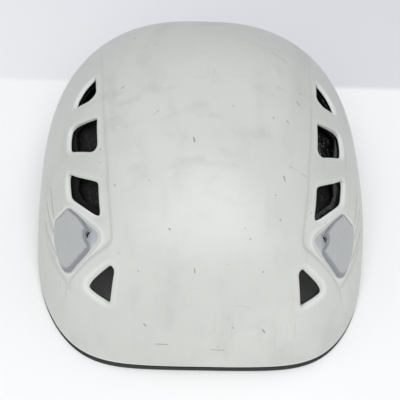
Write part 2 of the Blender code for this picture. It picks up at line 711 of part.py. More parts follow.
def rack_tooth(center):
    """Corners of one rack tooth in (y, z): 20 degree flanks about the pitch line."""
    half = TOOTH_PITCH / 4 - TOOTH_PLAY
    tip, root = MODULE, ROOT_DEPTH
    return [(center - half - root * FLANK, RACK_LINE - root),
            (center - half + tip * FLANK, RACK_LINE + tip),
            (center + half - tip * FLANK, RACK_LINE + tip),
            (center + half + root * FLANK, RACK_LINE - root)]


def slot_outline():
    """The yoke slot in (y, z), toothed along its lower edge, with a tooth at its middle."""
    each_side = int((SLOT_HALF - TOOTH_PITCH / 2) / TOOTH_PITCH)
    outline = [(WHEEL_Y + SLOT_HALF, SLOT_TOP), (WHEEL_Y - SLOT_HALF, SLOT_TOP),
               (WHEEL_Y - SLOT_HALF, RACK_LINE - ROOT_DEPTH)]
    for i in range(-each_side, each_side + 1):
        outline += rack_tooth(WHEEL_Y + i * TOOTH_PITCH)
    outline.append((WHEEL_Y + SLOT_HALF, RACK_LINE - ROOT_DEPTH))
    return outline


def slab(name, outline, low, high, look=None, along="X"):
    """A prism over an outline: (y, z) when it runs along X, or (x, z) along Y."""
    bm = bmesh.new()
    if along == "X":
        verts = [bm.verts.new((low, a, b)) for a, b in outline]
        shift = (high - low, 0, 0)
    else:
        verts = [bm.verts.new((a, low, b)) for a, b in outline]
        shift = (0, high - low, 0)
    made = bmesh.ops.extrude_face_region(bm, geom=[bm.faces.new(verts)], use_keep_orig=True)["geom"]
    moved = [item for item in made if isinstance(item, bmesh.types.BMVert)]
    bmesh.ops.translate(bm, vec=shift, verts=moved)
    mesh = mesh_from(bm, name)
    return part(name, mesh, look, 30) if look else add(name, mesh)


def pinion_outline():
    """The pinion in (y, z) about its axis: what is left when the rack rolls past it.

    The rack has a tooth straight under the axis at rest, so a tooth space faces down.
    One tooth's outline is worked out and then repeated.
    """
    tip = PITCH_RADIUS + MODULE * 0.9
    root = PITCH_RADIUS - MODULE * 1.3
    samples = 10
    sector = []
    for i in range(samples):
        direction = math.tau * i / samples / PINION_TEETH
        radius = tip
        for step in range(-40, 41):
            roll = step * TOOTH_PITCH / 20
            turn = direction + roll / PITCH_RADIUS
            while radius > root and inside_rack(radius, turn, roll):
                radius -= 0.00003
        sector.append((direction, radius))
    outline = []
    for tooth in range(PINION_TEETH):
        for direction, radius in sector:
            a = direction + math.tau * tooth / PINION_TEETH
            outline.append((math.sin(a) * radius, -math.cos(a) * radius))
    return outline


def inside_rack(radius, turn, roll):
    """Whether a pinion point, turned from straight down, is in a tooth of the moved rack."""
    y, z = radius * math.sin(turn), -radius * math.cos(turn)
    if z > -PITCH_RADIUS + MODULE + 0.0002:
        return False
    across = (y - roll + TOOTH_PITCH / 2) % TOOTH_PITCH - TOOTH_PITCH / 2
    half = TOOTH_PITCH / 4 + TOOTH_PLAY + (-PITCH_RADIUS - z) * FLANK
    return abs(across) < half


def make_wheel(name, x_sign, look):
    """Knurled disc outside the housing, with a pinion that reaches the yoke's slot."""
    disc = []
    steps = WHEEL_GRIPS * 2
    for i in range(steps):
        radius = WHEEL_RADIUS if i % 2 else WHEEL_RADIUS - 0.0012
        a = math.tau * i / steps
        disc.append((WHEEL_Y + radius * math.sin(a), PIVOT_Z + radius * math.cos(a)))
    solid = slab(f"{name} disc", disc, WHEEL_X, WHEEL_X + WHEEL_THICKNESS)
    gear = [(WHEEL_Y + y, PIVOT_Z + z) for y, z in pinion_outline()]
    inner = YOKE_X - YOKE_THICKNESS / 2 - 0.0006
    pinion = slab(f"{name} pinion", gear, inner, WHEEL_X + 0.001)
    boolean(solid, pinion, "UNION")
    bore = cylinder(f"{name} bore", AXLE_RADIUS + SLACK, (0.0, WHEEL_Y, PIVOT_Z), (0.2, WHEEL_Y, PIVOT_Z))
    boolean(solid, bore)
    mesh = baked(solid).data.copy()
    if x_sign < 0:
        mesh.transform(Matrix.Scale(-1, 4, (1, 0, 0)))
        mesh.flip_normals()
    return part(name, mesh, look, 30)


def make_yoke():
    middle = (YOKE_LOW + YOKE_HIGH) / 2
    start = WHEEL_Y - SLOT_HALF - 0.004
    arc = head_arc(YOKE_X, -YOKE_REAR, PIVOT_Y + YOKE_STRAIGHT, -90, 90, 21, middle)
    path = [(-YOKE_X, start, middle), *arc, (YOKE_X, start, middle)]
    yoke = strip("nape_yoke", path, YOKE_HIGH - YOKE_LOW, YOKE_THICKNESS, HARNESS_GREY)
    slot = slab("yoke slot", slot_outline(), YOKE_X - 0.004, YOKE_X + 0.004)
    for cutter in both_sides(slot):
        boolean(yoke, cutter)
    boolean(yoke, cylinder("pivot hole", PIVOT_RADIUS + SLACK, (-0.2, PIVOT_Y, PIVOT_Z),
                           (0.2, PIVOT_Y, PIVOT_Z)))


def make_cradle():
    middle = (CRADLE_LOW + CRADLE_HIGH) / 2
    arc = head_arc(CRADLE_X, -CRADLE_REAR, PIVOT_Y, -90, 90, 19, middle)
    path = [(-CRADLE_X, PIVOT_Y - 0.005, middle), *arc, (CRADLE_X, PIVOT_Y - 0.005, middle)]
    cradle = strip("nape_cradle", path, CRADLE_HIGH - CRADLE_LOW, CRADLE_THICKNESS, HARNESS_GREY)
    cradle = baked(cradle)
    top = PIVOT_Z + 0.005
    for _, sign in SIDES:
        ear = box(f"ear {sign}", (CRADLE_THICKNESS, 0.010, top - CRADLE_HIGH + 0.004),
                  (sign * CRADLE_X, PIVOT_Y, (top + CRADLE_HIGH - 0.004) / 2))
        boolean(cradle, ear, "UNION")
    boolean(cradle, cylinder("ear hole", PIVOT_RADIUS + SLACK, (-0.2, PIVOT_Y, PIVOT_Z),
                             (0.2, PIVOT_Y, PIVOT_Z)))
    rear = -(CRADLE_REAR - CRADLE_THICKNESS / 2 - GAP - PAD_THICKNESS / 2)
    side = CRADLE_X - CRADLE_THICKNESS / 2 - GAP - PAD_THICKNESS / 2
    pad = head_arc(side, rear, PIVOT_Y, -55, 55, 15, middle)
    strip("pad_nape", pad, CRADLE_HIGH - CRADLE_LOW - 0.002, PAD_THICKNESS, PADDING)


def make_size_adjusters():
    for side, sign in SIDES:
        center = (0, WHEEL_Y, PIVOT_Z)
        make_wheel(f"size_wheel_{side}", sign, HARNESS_GREY)
        band_inner = HEAD_HALF_WIDTH - BAND_THICKNESS / 2
        outer = WHEEL_X + WHEEL_THICKNESS + GAP
        axle = [(0.0030, band_inner - 0.0016), (0.0030, band_inner - GAP), (AXLE_RADIUS, band_inner - GAP),
                (AXLE_RADIUS, outer), (0.0032, outer), (0.0032, outer + 0.0012)]
        if sign < 0:
            axle = [(r, -x) for r, x in reversed(axle)]
        turned(f"wheel_axle_{side}", axle, center, STEEL)
        ear_inner = CRADLE_X - CRADLE_THICKNESS / 2
        yoke_outer = YOKE_X + YOKE_THICKNESS / 2
        pin = [(0.0036, ear_inner - 0.0014), (0.0036, ear_inner - GAP), (PIVOT_RADIUS, ear_inner - GAP),
               (PIVOT_RADIUS, yoke_outer + GAP), (0.0036, yoke_outer + GAP),
               (0.0036, yoke_outer + 0.0014)]
        if sign < 0:
            pin = [(r, -x) for r, x in reversed(pin)]
        turned(f"cradle_pin_{side}", pin, (0, PIVOT_Y, PIVOT_Z), STEEL)
    make_housing()


def make_housing():
    """A channel that closes over the yoke's arm and carries the wheel."""
    length = 0.0270
    low, high = BAND_LOW - 0.0015, BAND_HIGH + 0.0005
    inner = HEAD_HALF_WIDTH + BAND_THICKNESS / 2 + GAP
    outer = HOUSING_X + CHEEK
    body = box("wheel_housing_right", (outer - inner, length, high - low),
               ((outer + inner) / 2, WHEEL_Y, (low + high) / 2), HARNESS_GREY)
    arm_room = box("arm room", (HOUSING_X - inner + 0.010, length + 0.01, YOKE_HIGH - YOKE_LOW + 0.0012),
                   ((HOUSING_X + inner - 0.010) / 2, WHEEL_Y, (YOKE_LOW + YOKE_HIGH) / 2))
    boolean(body, arm_room)
    hole = cylinder("pinion hole", PITCH_RADIUS + MODULE + 0.0005, (HOUSING_X - 0.004, WHEEL_Y, PIVOT_Z),
                    (outer + 0.004, WHEEL_Y, PIVOT_Z))
    boolean(body, hole)
    mirrored(body, "wheel_housing_left")


# --- Chin harness -------------------------------------------------------------------------------

ANCHORS = {"front": 58.0, "rear": 122.0}
ANCHOR_WALL = 0.0020
ANCHOR_SIZE = (0.0070, 0.0220, WEB_WIDTH + 0.0020 + 2 * ANCHOR_WALL)


def anchor_frame(angle):
    """Middle of a strap anchor just inside the shell, and the way out of the helmet."""
    a = math.radians(angle)
    reach = dome_radius(a, STRAP_Z + 0.012) - WALL - 0.0030 - ANCHOR_SIZE[0] / 2
    out = (dome_point(a, STRAP_Z, 0.001) - dome_point(a, STRAP_Z, 0.0))
    out = Vector((out.x, out.y, 0)).normalized()
    return Vector((reach * math.sin(a), -reach * math.cos(a), STRAP_Z)), out


def anchor_box(name, size, angle, shift=0.0, look=None):
    """A block set square to the shell's wall at an anchor."""
    place, out = anchor_frame(angle)
    turn = Matrix.Rotation(math.atan2(out.y, out.x), 4, "Z")
    block = box(name, size, (0, 0, 0), look)
    block.data.transform(Matrix.Translation(place + out * shift) @ turn)
    return block


def make_anchors():
    """Moulded strap anchors: a block with a window, and a steel bar across it."""
    for where, angle in ANCHORS.items():
        name = f"strap_anchor_{where}_right"
        block = anchor_box(name, ANCHOR_SIZE, angle, look=HARNESS_GREY)
        depth, length, height = ANCHOR_SIZE
        window = (depth + 0.01, length - 0.008, height - 2 * ANCHOR_WALL)
        boolean(block, anchor_box(f"{name} window", window, angle))
        place, _ = anchor_frame(angle)
        half = Vector((0, 0, height / 2))
        bar = cylinder(f"{name} bar hole", 0.0015 + SLACK, place - half * 1.2, place + half * 1.2, None, 14)
        boolean(block, bar)
        mirrored(block, f"strap_anchor_{where}_left")
        pin = cylinder(f"strap_bar_{where}_right", 0.0015, place - half * 0.98,
                       place + half * 0.98, STEEL, 14)
        mirrored(pin, f"strap_bar_{where}_left")


DIVIDER_SIZE = (0.0040, 0.0240, 0.0200)
CHIN_SIDE = Vector((0.0840, -0.0880, 0.0230))    # where the chin strap passes the temple
FLAP_PIN = (DIVIDER_X + 0.0044, STRAP_Z + 0.0088)
FLAP_PIN_RADIUS = 0.0009


def make_straps():
    """Webbing on edge: front and rear legs from the anchors to the divider."""
    half = DIVIDER_SIZE[1] / 2 + GAP
    for where, angle in ANCHORS.items():
        place, out = anchor_frame(angle)
        sign = -1 if where == "front" else 1
        along = Vector((-out.y, out.x, 0)) * -sign
        start = place - out * (0.0015 + GAP + WEB_THICKNESS / 2)
        face = ANCHOR_SIZE[0] / 2 + GAP + WEB_THICKNESS / 2
        clear = place + along * ANCHOR_SIZE[1] * 0.34 - out * (face + 0.0006)
        past = place + along * (ANCHOR_SIZE[1] / 2 + 0.006) - out * (face + 0.0022)
        shift = 0.0013 if where == "front" else 0.0
        last = Vector((DIVIDER_X + shift, DIVIDER_Y + sign * half, STRAP_Z))
        near = last + Vector((0.0008, sign * 0.008, 0))
        path = smooth_path([start, clear, past, near, last], 4)
        strap = strip(f"strap_{where}_right", path, WEB_WIDTH, WEB_THICKNESS, WEBBING)
        mirrored(strap, f"strap_{where}_left")
    end = Vector((BUCKLE_LENGTH + GAP, -BUCKLE_Y, FRONT_STRAP_Z))
    first = Vector((DIVIDER_X - 0.0013, DIVIDER_Y - half, STRAP_Z))
    corner = dome_point(CORNER_ANGLE + 0.06, FRONT_STRAP_Z, -0.0175)
    path = smooth_path([first, first + Vector((0.0006, -0.030, 0.0005)),
                        CHIN_SIDE * SHELL_SCALE, (corner.x, corner.y, FRONT_STRAP_Z),
                        end + Vector((0.021, 0.0004, 0)), end + Vector((0.010, 0, 0)), end], 3)
    chin = strip("chin_strap_right", path, WEB_WIDTH, WEB_THICKNESS, WEBBING)
    mirrored(chin, "chin_strap_left")


def make_dividers():
    """A strap divider on each side, with a locking flap on a steel pin."""
    depth, length, height = DIVIDER_SIZE
    x, z = FLAP_PIN
    body = box("divider_right", DIVIDER_SIZE, (DIVIDER_X, DIVIDER_Y, STRAP_Z), HARNESS_GREY, 0.0006)
    for sign in (-1, 1):
        y = DIVIDER_Y + sign * (length / 2 - 0.0025)
        lug = box(f"divider lug {sign}", (0.0052, 0.0030, 0.0044), (x - 0.0010, y, z))
        boolean(body, lug, "UNION")
    reach = length / 2 - 0.0012
    hole = cylinder("flap pin hole", FLAP_PIN_RADIUS + SLACK, (x, DIVIDER_Y - 0.02, z),
                    (x, DIVIDER_Y + 0.02, z), None, 12)
    boolean(body, hole)
    mirrored(body, "divider_left")
    pin = cylinder("flap_pin_right", FLAP_PIN_RADIUS, (x, DIVIDER_Y - reach, z),
                   (x, DIVIDER_Y + reach, z), STEEL, 12)
    mirrored(pin, "flap_pin_left")
    width = length - 2 * (0.0040 + GAP)
    plate = box("divider_flap_right", (0.0014, width, 0.0160), (x - 0.0006, DIVIDER_Y, z - 0.0080),
                HARNESS_GREY)
    barrel = cylinder("flap barrel", 0.0018, (x, DIVIDER_Y - width / 2, z), (x, DIVIDER_Y + width / 2, z),
                      None, 14)
    boolean(plate, barrel, "UNION")
    boolean(plate, hole)
    mirrored(plate, "divider_flap_left")


# --- Chin buckle -----------------------------------------------------------------------------------

BUCKLE_Y = FRONT_REACH - 0.0226


def buckle_block(name, x_low, x_high, depth, width, look=None, bevel=0.0):
    """A block of the buckle, centred on the chin strap."""
    size = (x_high - x_low, depth, width)
    return box(name, size, ((x_low + x_high) / 2, -BUCKLE_Y, FRONT_STRAP_Z), look, bevel)


def make_buckle():
    """Side-release buckle: a socket, a plug, and two springy prongs at the plug's sides."""
    room = BUCKLE_DEPTH - 2 * BUCKLE_WALL
    web = WEB_WIDTH + 0.0006
    socket = buckle_block("buckle_socket", -BUCKLE_LENGTH, 0.0, BUCKLE_DEPTH, BUCKLE_WIDTH,
                          BUCKLE_BLACK, 0.001)
    boolean(socket, buckle_block("socket room", 0.0055 - BUCKLE_LENGTH, 0.002, room, BUCKLE_WIDTH - 0.004))
    boolean(socket, buckle_block("socket sides", -0.0145, 0.002, room, BUCKLE_WIDTH + 0.004))
    boolean(socket, buckle_block("socket web slot", 0.0018 - BUCKLE_LENGTH,
                                 0.0042 - BUCKLE_LENGTH, 0.03, web))
    plug = buckle_block("buckle_plug", GAP, BUCKLE_LENGTH, BUCKLE_DEPTH - 0.002, BUCKLE_WIDTH - 0.001,
                        BUCKLE_BLACK, 0.001)
    boolean(plug, buckle_block("plug tongue", -0.0170, 0.002, room - 0.0018, 0.0052), "UNION")
    for i, x in enumerate((0.0120, 0.0186)):
        boolean(plug, buckle_block(f"plug web slot {i}", x, x + 0.0034, 0.03, web))
    prong = [(0.00005, 0.0054), (0.00005, 0.0086), (-0.0060, 0.0086), (-0.0070, 0.0106),
             (-0.0120, 0.0102), (-0.0155, 0.0072), (-0.0155, 0.0054)]
    for name, sign in (("upper", 1), ("lower", -1)):
        outline = [(x, FRONT_STRAP_Z + sign * z) for x, z in prong]
        slab(f"buckle_prong_{name}", outline, -BUCKLE_Y - room / 2 + 0.0005, -BUCKLE_Y + room / 2 - 0.0005,
             BUCKLE_BLACK, "Y")
    keeper = box("strap_keeper", (0.0080, WEB_THICKNESS + 0.0032, WEB_WIDTH + 0.0036),
                 (-BUCKLE_LENGTH - 0.0110, -BUCKLE_Y, FRONT_STRAP_Z), BLACK_RUBBER)
    boolean(keeper, box("keeper room", (0.02, WEB_THICKNESS + 0.0010, WEB_WIDTH + 0.0010),
                        (-BUCKLE_LENGTH - 0.0110, -BUCKLE_Y, FRONT_STRAP_Z)))


def build():
    clear_scene()
    make_shell()
    make_clips()
    make_trim()
    make_shutters()
    make_liner()
    make_crown_pads()
    make_headband()
    make_hangers()
    make_yoke()
    make_cradle()
    make_size_adjusters()
    make_anchors()
    make_straps()
    make_dividers()
    make_buckle()


build()
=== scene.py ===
"""Looks of the climbing helmet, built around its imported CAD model.

Metres, +Z up, the helmet's front towards -Y. The shell, liner, clip plates and trim
are drawn on one dome formula; the harness follows the routes of the CAD model.
"""
import json
import logging
import math
from dataclasses import dataclass, field
from enum import Enum
from typing import Callable, Iterable, Optional, Sequence

import bmesh
import bpy
import numpy as np
from mathutils import Matrix, Vector
from mathutils.geometry import delaunay_2d_cdt
from mathutils.kdtree import KDTree


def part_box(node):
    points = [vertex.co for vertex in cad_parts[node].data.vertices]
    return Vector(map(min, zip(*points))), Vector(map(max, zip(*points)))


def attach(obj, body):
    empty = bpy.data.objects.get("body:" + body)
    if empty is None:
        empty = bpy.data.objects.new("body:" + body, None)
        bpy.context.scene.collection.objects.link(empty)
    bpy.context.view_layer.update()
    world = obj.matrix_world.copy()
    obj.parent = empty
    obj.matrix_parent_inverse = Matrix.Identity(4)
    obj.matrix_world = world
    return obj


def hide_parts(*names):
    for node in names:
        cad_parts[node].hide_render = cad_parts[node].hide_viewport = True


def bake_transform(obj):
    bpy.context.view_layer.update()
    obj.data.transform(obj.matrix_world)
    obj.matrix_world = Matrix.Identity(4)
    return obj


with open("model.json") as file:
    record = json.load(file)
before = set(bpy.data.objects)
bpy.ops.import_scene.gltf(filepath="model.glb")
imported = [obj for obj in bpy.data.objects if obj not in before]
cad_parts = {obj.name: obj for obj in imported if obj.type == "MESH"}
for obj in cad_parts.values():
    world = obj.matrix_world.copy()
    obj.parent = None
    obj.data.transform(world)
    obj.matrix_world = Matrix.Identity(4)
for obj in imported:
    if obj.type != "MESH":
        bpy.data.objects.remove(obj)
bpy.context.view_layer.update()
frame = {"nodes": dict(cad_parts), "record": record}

MM = 0.001
LOG = logging.getLogger("helmet")
SIDES = (("left", -1), ("right", 1))

Colour = tuple[float, float, float]
Outline = Sequence[tuple[float, float]]


# --- Node graphs ----------------------------------------------------------------------

class Link:
    """A node's output that takes part in Python arithmetic."""

    def __init__(self, graph: "Graph", socket: bpy.types.NodeSocket) -> None:
        """Wraps an output socket of a graph."""
        self.graph = graph
        self.socket = socket

    def math(self, operation: str, *others: "Link | float") -> "Link":
        """Adds a Math node over this value and the others."""
        values = dict(enumerate((self, *others)))
        return self.graph.node("ShaderNodeMath", {"operation": operation}, values)

    def __add__(self, other: "Link | float") -> "Link":
        """Sum."""
        return self.math("ADD", other)

    __radd__ = __add__

    def __mul__(self, other: "Link | float") -> "Link":
        """Product."""
        return self.math("MULTIPLY", other)

    __rmul__ = __mul__

    def __sub__(self, other: "Link | float") -> "Link":
        """Difference."""
        return self.math("SUBTRACT", other)

    def __rsub__(self, other: float) -> "Link":
        """Difference from a number."""
        return self.graph.node("ShaderNodeMath", {"operation": "SUBTRACT"}, {0: other, 1: self})

    def __truediv__(self, other: "Link | float") -> "Link":
        """Quotient."""
        return self.math("DIVIDE", other)

    def __pow__(self, other: float) -> "Link":
        """Power."""
        return self.math("POWER", other)

    def step(self, low: float, high: float) -> "Link":
        """A smooth step that rises from 0 at low to 1 at high, or falls where low is higher."""
        settings = {"interpolation_type": "SMOOTHSTEP"}
        values = {"Value": self, "From Min": low, "From Max": high}
        return self.graph.node("ShaderNodeMapRange", settings, values)


class Graph:
    """A node tree under construction, of a material or of geometry."""

    def __init__(self, tree: bpy.types.NodeTree) -> None:
        """Starts from an existing tree, which is emptied."""
        self.tree = tree
        tree.nodes.clear()

    def node(self, kind: str, settings: Optional[dict] = None, values: Optional[dict] = None,
             output: "int | str" = 0) -> Link:
        """Adds one node of any type.

        Args:
            kind: The node's type name.
            settings: Its properties, set before any socket; "stops" fills a colour ramp.
            values: Numbers, colours or links for its inputs, by name or index.
            output: The output that the returned link stands for.

        Returns:
            The chosen output.
        """
        made = self.tree.nodes.new(kind)
        for name, value in (settings or {}).items():
            if name == "stops":
                ramp = made.color_ramp.elements
                while len(ramp) < len(value):
                    ramp.new(0.5)
                for element, (place, colour) in zip(ramp, value):
                    element.position = place
                    element.color = (*colour, 1.0)
            else:
                setattr(made, name, value)
        for name, value in (values or {}).items():
            if isinstance(value, Link):
                self.tree.links.new(value.socket, made.inputs[name])
            elif isinstance(value, tuple) and len(value) == 3 and made.inputs[name].type == "RGBA":
                made.inputs[name].default_value = (*value, 1.0)
            else:
                made.inputs[name].default_value = value
        return Link(self, made.outputs[output] if len(made.outputs) else None)

    def mix(self, factor: "Link | float", first: "Link | Colour", second: "Link | Colour") -> Link:
        """A colour that goes from first to second as factor goes from 0 to 1."""
        settings = {"data_type": "RGBA", "clamp_factor": True}
        return self.node("ShaderNodeMix", settings, {0: factor, 6: first, 7: second}, 2)

    def object_place(self) -> Link:
        """The point on the piece, in metres."""
        return self.node("ShaderNodeTexCoord", output="Object")

    def stretched(self, place: Link, scale: Sequence[float],
                  turn: Sequence[float] = (0.0, 0.0, 0.0)) -> Link:
        """A place turned and scaled, for a pattern with a direction."""
        values = {"Vector": place, "Scale": tuple(scale), "Rotation": tuple(turn)}
        return self.node("ShaderNodeMapping", None, values)

    def noise(self, place: Link, scale: float, detail: float = 3.0, roughness: float = 0.5) -> Link:
        """Smooth noise between 0 and 1."""
        values = {"Vector": place, "Scale": scale, "Detail": detail, "Roughness": roughness}
        return self.node("ShaderNodeTexNoise", None, values)

    def cells(self, place: Link, scale: float, feature: str = "F1") -> Link:
        """Distance pattern of scattered cells."""
        return self.node("ShaderNodeTexVoronoi", {"feature": feature},
                         {"Vector": place, "Scale": scale}, "Distance")

    def axis(self, place: Link, name: str) -> Link:
        """One coordinate of a place."""
        return self.node("ShaderNodeSeparateXYZ", None, {"Vector": place}, name)

    def near(self, place: Link, centre: Sequence[float]) -> Link:
        """Distance from a point of the piece."""
        return self.node("ShaderNodeVectorMath", {"operation": "DISTANCE"},
                         {0: place, 1: tuple(centre)}, "Value")


# --- Finishes -------------------------------------------------------------------------

@dataclass
class Surface:
    """What a finish paints: links or constants for its shader."""

    colour: "Link | Colour"
    roughness: "Link | float"
    height: Optional[Link] = None


@dataclass(frozen=True)
class Finish:
    """A material of the helmet, from which its node tree is made."""

    name: str
    colour: Colour
    roughness: float = 0.5
    metallic: float = 0.0
    relief: float = 0.0001
    relief_strength: float = 0.5
    coat: float = 0.0
    sheen: float = 0.0
    specular: float = 0.5

    def surface(self, graph: Graph) -> Surface:
        """The pattern of a plain moulded surface."""
        place = graph.object_place()
        cloud = graph.noise(place, 40.0)
        grain = graph.noise(place, 1400.0, 2.0)
        dark = tuple(0.86 * c for c in self.colour)
        return Surface(graph.mix(cloud, dark, self.colour),
                       cloud * 0.12 + (self.roughness - 0.06), grain)

    def material(self) -> bpy.types.Material:
        """The material, made once and then shared."""
        found = bpy.data.materials.get(self.name)
        if found:
            return found
        made = bpy.data.materials.new(self.name)
        made.use_nodes = True
        graph = Graph(made.node_tree)
        surface = self.surface(graph)
        values = {"Base Color": surface.colour, "Roughness": surface.roughness,
                  "Metallic": self.metallic, "Coat Weight": self.coat, "Coat Roughness": 0.15,
                  "Sheen Weight": self.sheen, "Sheen Roughness": 0.5,
                  "Specular IOR Level": self.specular}
        if surface.height is not None:
            values["Normal"] = graph.node("ShaderNodeBump", None, {
                "Height": surface.height, "Distance": self.relief,
                "Strength": self.relief_strength})
        shader = graph.node("ShaderNodeBsdfPrincipled", None, values)
        graph.node("ShaderNodeOutputMaterial", None, {"Surface": shader})
        return made


@dataclass(frozen=True)
class Stroke:
    """A scratch or rub mark on the shell: a short line in space and its width."""

    start: tuple[float, float, float]
    end: tuple[float, float, float]
    width: float
    strength: float


@dataclass(frozen=True)
class WornShell(Finish):
    """Satin moulded shell with grime, faint stains, nicks and hairline scratches, and painted shade and
    painted highlights along its creases, recesses, holes and edges.
    """

    strokes: tuple[Stroke, ...] = ()
    # darker blue-grey tint of the sunk recess floors, with painted shade
    floor_tint_and_shade_colour: Colour = (0.36, 0.385, 0.42)
    # colour of the painted shade, which the material breaks up with noise like grime
    shade_and_grime_colour: Colour = (0.13, 0.135, 0.13)
    # colour of the painted highlights on the shell's edges
    highlight_colour: Colour = (0.74, 0.75, 0.73)

    def stroke_mask(self, graph: Graph, place: Link, stroke: Stroke) -> Link:
        """How strongly one mark shows at a place.

        Args:
            graph: The tree to add to.
            place: The point on the piece.
            stroke: The mark.

        Returns:
            A value between 0 and 1.
        """
        start, end = Vector(stroke.start), Vector(stroke.end)
        along = end - start
        settings = {"operation": "SUBTRACT"}
        offset = graph.node("ShaderNodeVectorMath", settings, {0: place, 1: tuple(start)})
        share = graph.node("ShaderNodeVectorMath", {"operation": "DOT_PRODUCT"},
                           {0: offset, 1: tuple(along / along.length_squared)}, "Value")
        share = share.math("MINIMUM", 1.0).math("MAXIMUM", 0.0)
        nearest = graph.node("ShaderNodeVectorMath", {"operation": "SCALE"},
                             {0: tuple(along), "Scale": share})
        gap = graph.node("ShaderNodeVectorMath", {"operation": "DISTANCE"},
                         {0: offset, 1: nearest}, "Value")
        ragged = graph.noise(place, 900.0, 2.0)
        reach = gap + (ragged - 0.5) * stroke.width
        return reach.step(stroke.width, stroke.width * 0.3) * stroke.strength

    def surface(self, graph: Graph) -> Surface:
        """Grime, stains and scratches over the moulded colour, then painted shade and painted
        highlights from the shell's vertex values.
        """
        place = graph.object_place()
        cloud = graph.noise(place, 14.0, 4.0, 0.55)
        smear = graph.noise(graph.stretched(place, (60, 22, 30), (0.3, 0.0, 0.5)), 1.0, 4.0)
        fine = graph.noise(place, 420.0, 3.0)
        dusty = tuple(0.93 * c for c in self.colour)
        colour = graph.mix(cloud.step(0.35, 0.7), dusty, self.colour)
        colour = graph.mix(smear.step(0.50, 0.74) * 0.34, colour, (0.44, 0.45, 0.42))
        wipe = graph.noise(graph.stretched(place, (30, 70, 30), (0.2, 0.4, -0.7)), 1.0, 5.0, 0.62)
        high = graph.axis(place, "Z").step(0.09, 0.125)
        colour = graph.mix(wipe.step(0.55, 0.70) * (high * 0.7 + 0.3) * 0.26, colour,
                           (0.38, 0.385, 0.36))
        stain = graph.noise(place, 31.0, 2.0).step(0.66, 0.78)
        low = graph.axis(place, "Z").step(0.075, 0.02)
        colour = graph.mix(stain * low * 0.6, colour, (0.50, 0.44, 0.27))
        speck = graph.cells(place, 110.0).step(0.10, 0.055)
        thinned = graph.noise(place, 23.0, 1.0).step(0.50, 0.58)
        colour = graph.mix(speck * thinned * 0.55, colour, (0.20, 0.20, 0.18))
        scratches = None
        for turn, scale in ((0.4, (26, 900, 26)), (-0.9, (900, 20, 20)), (1.9, (700, 16, 40))):
            lines = graph.noise(graph.stretched(place, scale, (turn * 0.4, 0.2, turn)), 1.0, 1.0)
            lines = lines.step(0.735, 0.77)
            scratches = lines if scratches is None else scratches + lines
        patchy = graph.noise(place, 18.0, 1.0).step(0.5, 0.62)
        scratches = (scratches * patchy).math("MINIMUM", 1.0)
        colour = graph.mix(scratches * 0.32, colour, (0.36, 0.37, 0.34))
        marks = None
        for stroke in self.strokes:
            mask = self.stroke_mask(graph, place, stroke)
            marks = mask if marks is None else marks.math("MAXIMUM", mask)
        if marks is not None:
            colour = graph.mix(marks, colour, (0.13, 0.13, 0.12))
        # the sunk floors of the clip recesses: a darker blue-grey tint with painted shade
        shade = graph.node("ShaderNodeAttribute", {"attribute_name": "pond"}, None, "Fac")
        colour = graph.mix(shade, colour, self.floor_tint_and_shade_colour)
        # painted highlights on chamfers, beside grooves, outside the clip recesses and along the front
        # edge
        rubbed = graph.node("ShaderNodeAttribute", {"attribute_name": "rubbed"}, None, "Fac")
        colour = graph.mix(rubbed, colour, self.highlight_colour)
        # painted shade in grooves, beside ridges, round recess edges and round holes, broken up by
        # noise like grime
        grime = graph.node("ShaderNodeAttribute", {"attribute_name": "grime"}, None, "Fac")
        grime = grime * (graph.noise(place, 260.0, 3.0) * 0.7 + 0.55)
        colour = graph.mix(grime, colour, self.shade_and_grime_colour)
        roughness = cloud * 0.14 + fine * 0.06 + scratches * 0.12 + (self.roughness - 0.1)
        height = fine * 0.25 - scratches * 0.8
        return Surface(colour, roughness, height)


@dataclass(frozen=True)
class BrushedPlate(Finish):
    """Satin clip plastic with a fan of fine rubbed lines around its hook."""

    # colour of the band of painted shade along the hooked edges
    rim_shade_colour: Colour = (0.20, 0.212, 0.222)

    def surface(self, graph: Graph) -> Surface:
        """Rubbed lines that fan out, over a cloudy satin colour, and a band of painted shade along the
        hooked edges.
        """
        place = graph.object_place()
        cloud = graph.noise(place, 60.0, 3.0)
        lines = graph.noise(graph.stretched(place, (1500, 90, 160), (0.2, 0.5, 0.8)), 1.0, 2.0)
        fan = graph.noise(graph.stretched(place, (90, 1500, 200), (0.5, 0.1, -0.5)), 1.0, 2.0)
        rubbed = (lines.step(0.6, 0.75) + fan.step(0.62, 0.75)).math("MINIMUM", 1.0)
        light = tuple(min(1.18 * c, 1.0) for c in self.colour)
        dark = tuple(0.9 * c for c in self.colour)
        colour = graph.mix(cloud, dark, self.colour)
        colour = graph.mix(rubbed * 0.5, colour, light)
        # painted shade: a dark band along the hooked edges stands for their shaded bevel
        rim = graph.node("ShaderNodeAttribute", {"attribute_name": "rim"}, None, "Fac")
        colour = graph.mix(rim, colour, self.rim_shade_colour)
        return Surface(colour, rubbed * 0.15 + cloud * 0.1 + (self.roughness - 0.08),
                       graph.noise(place, 900.0, 2.0) * 0.4 + rubbed * 0.6)


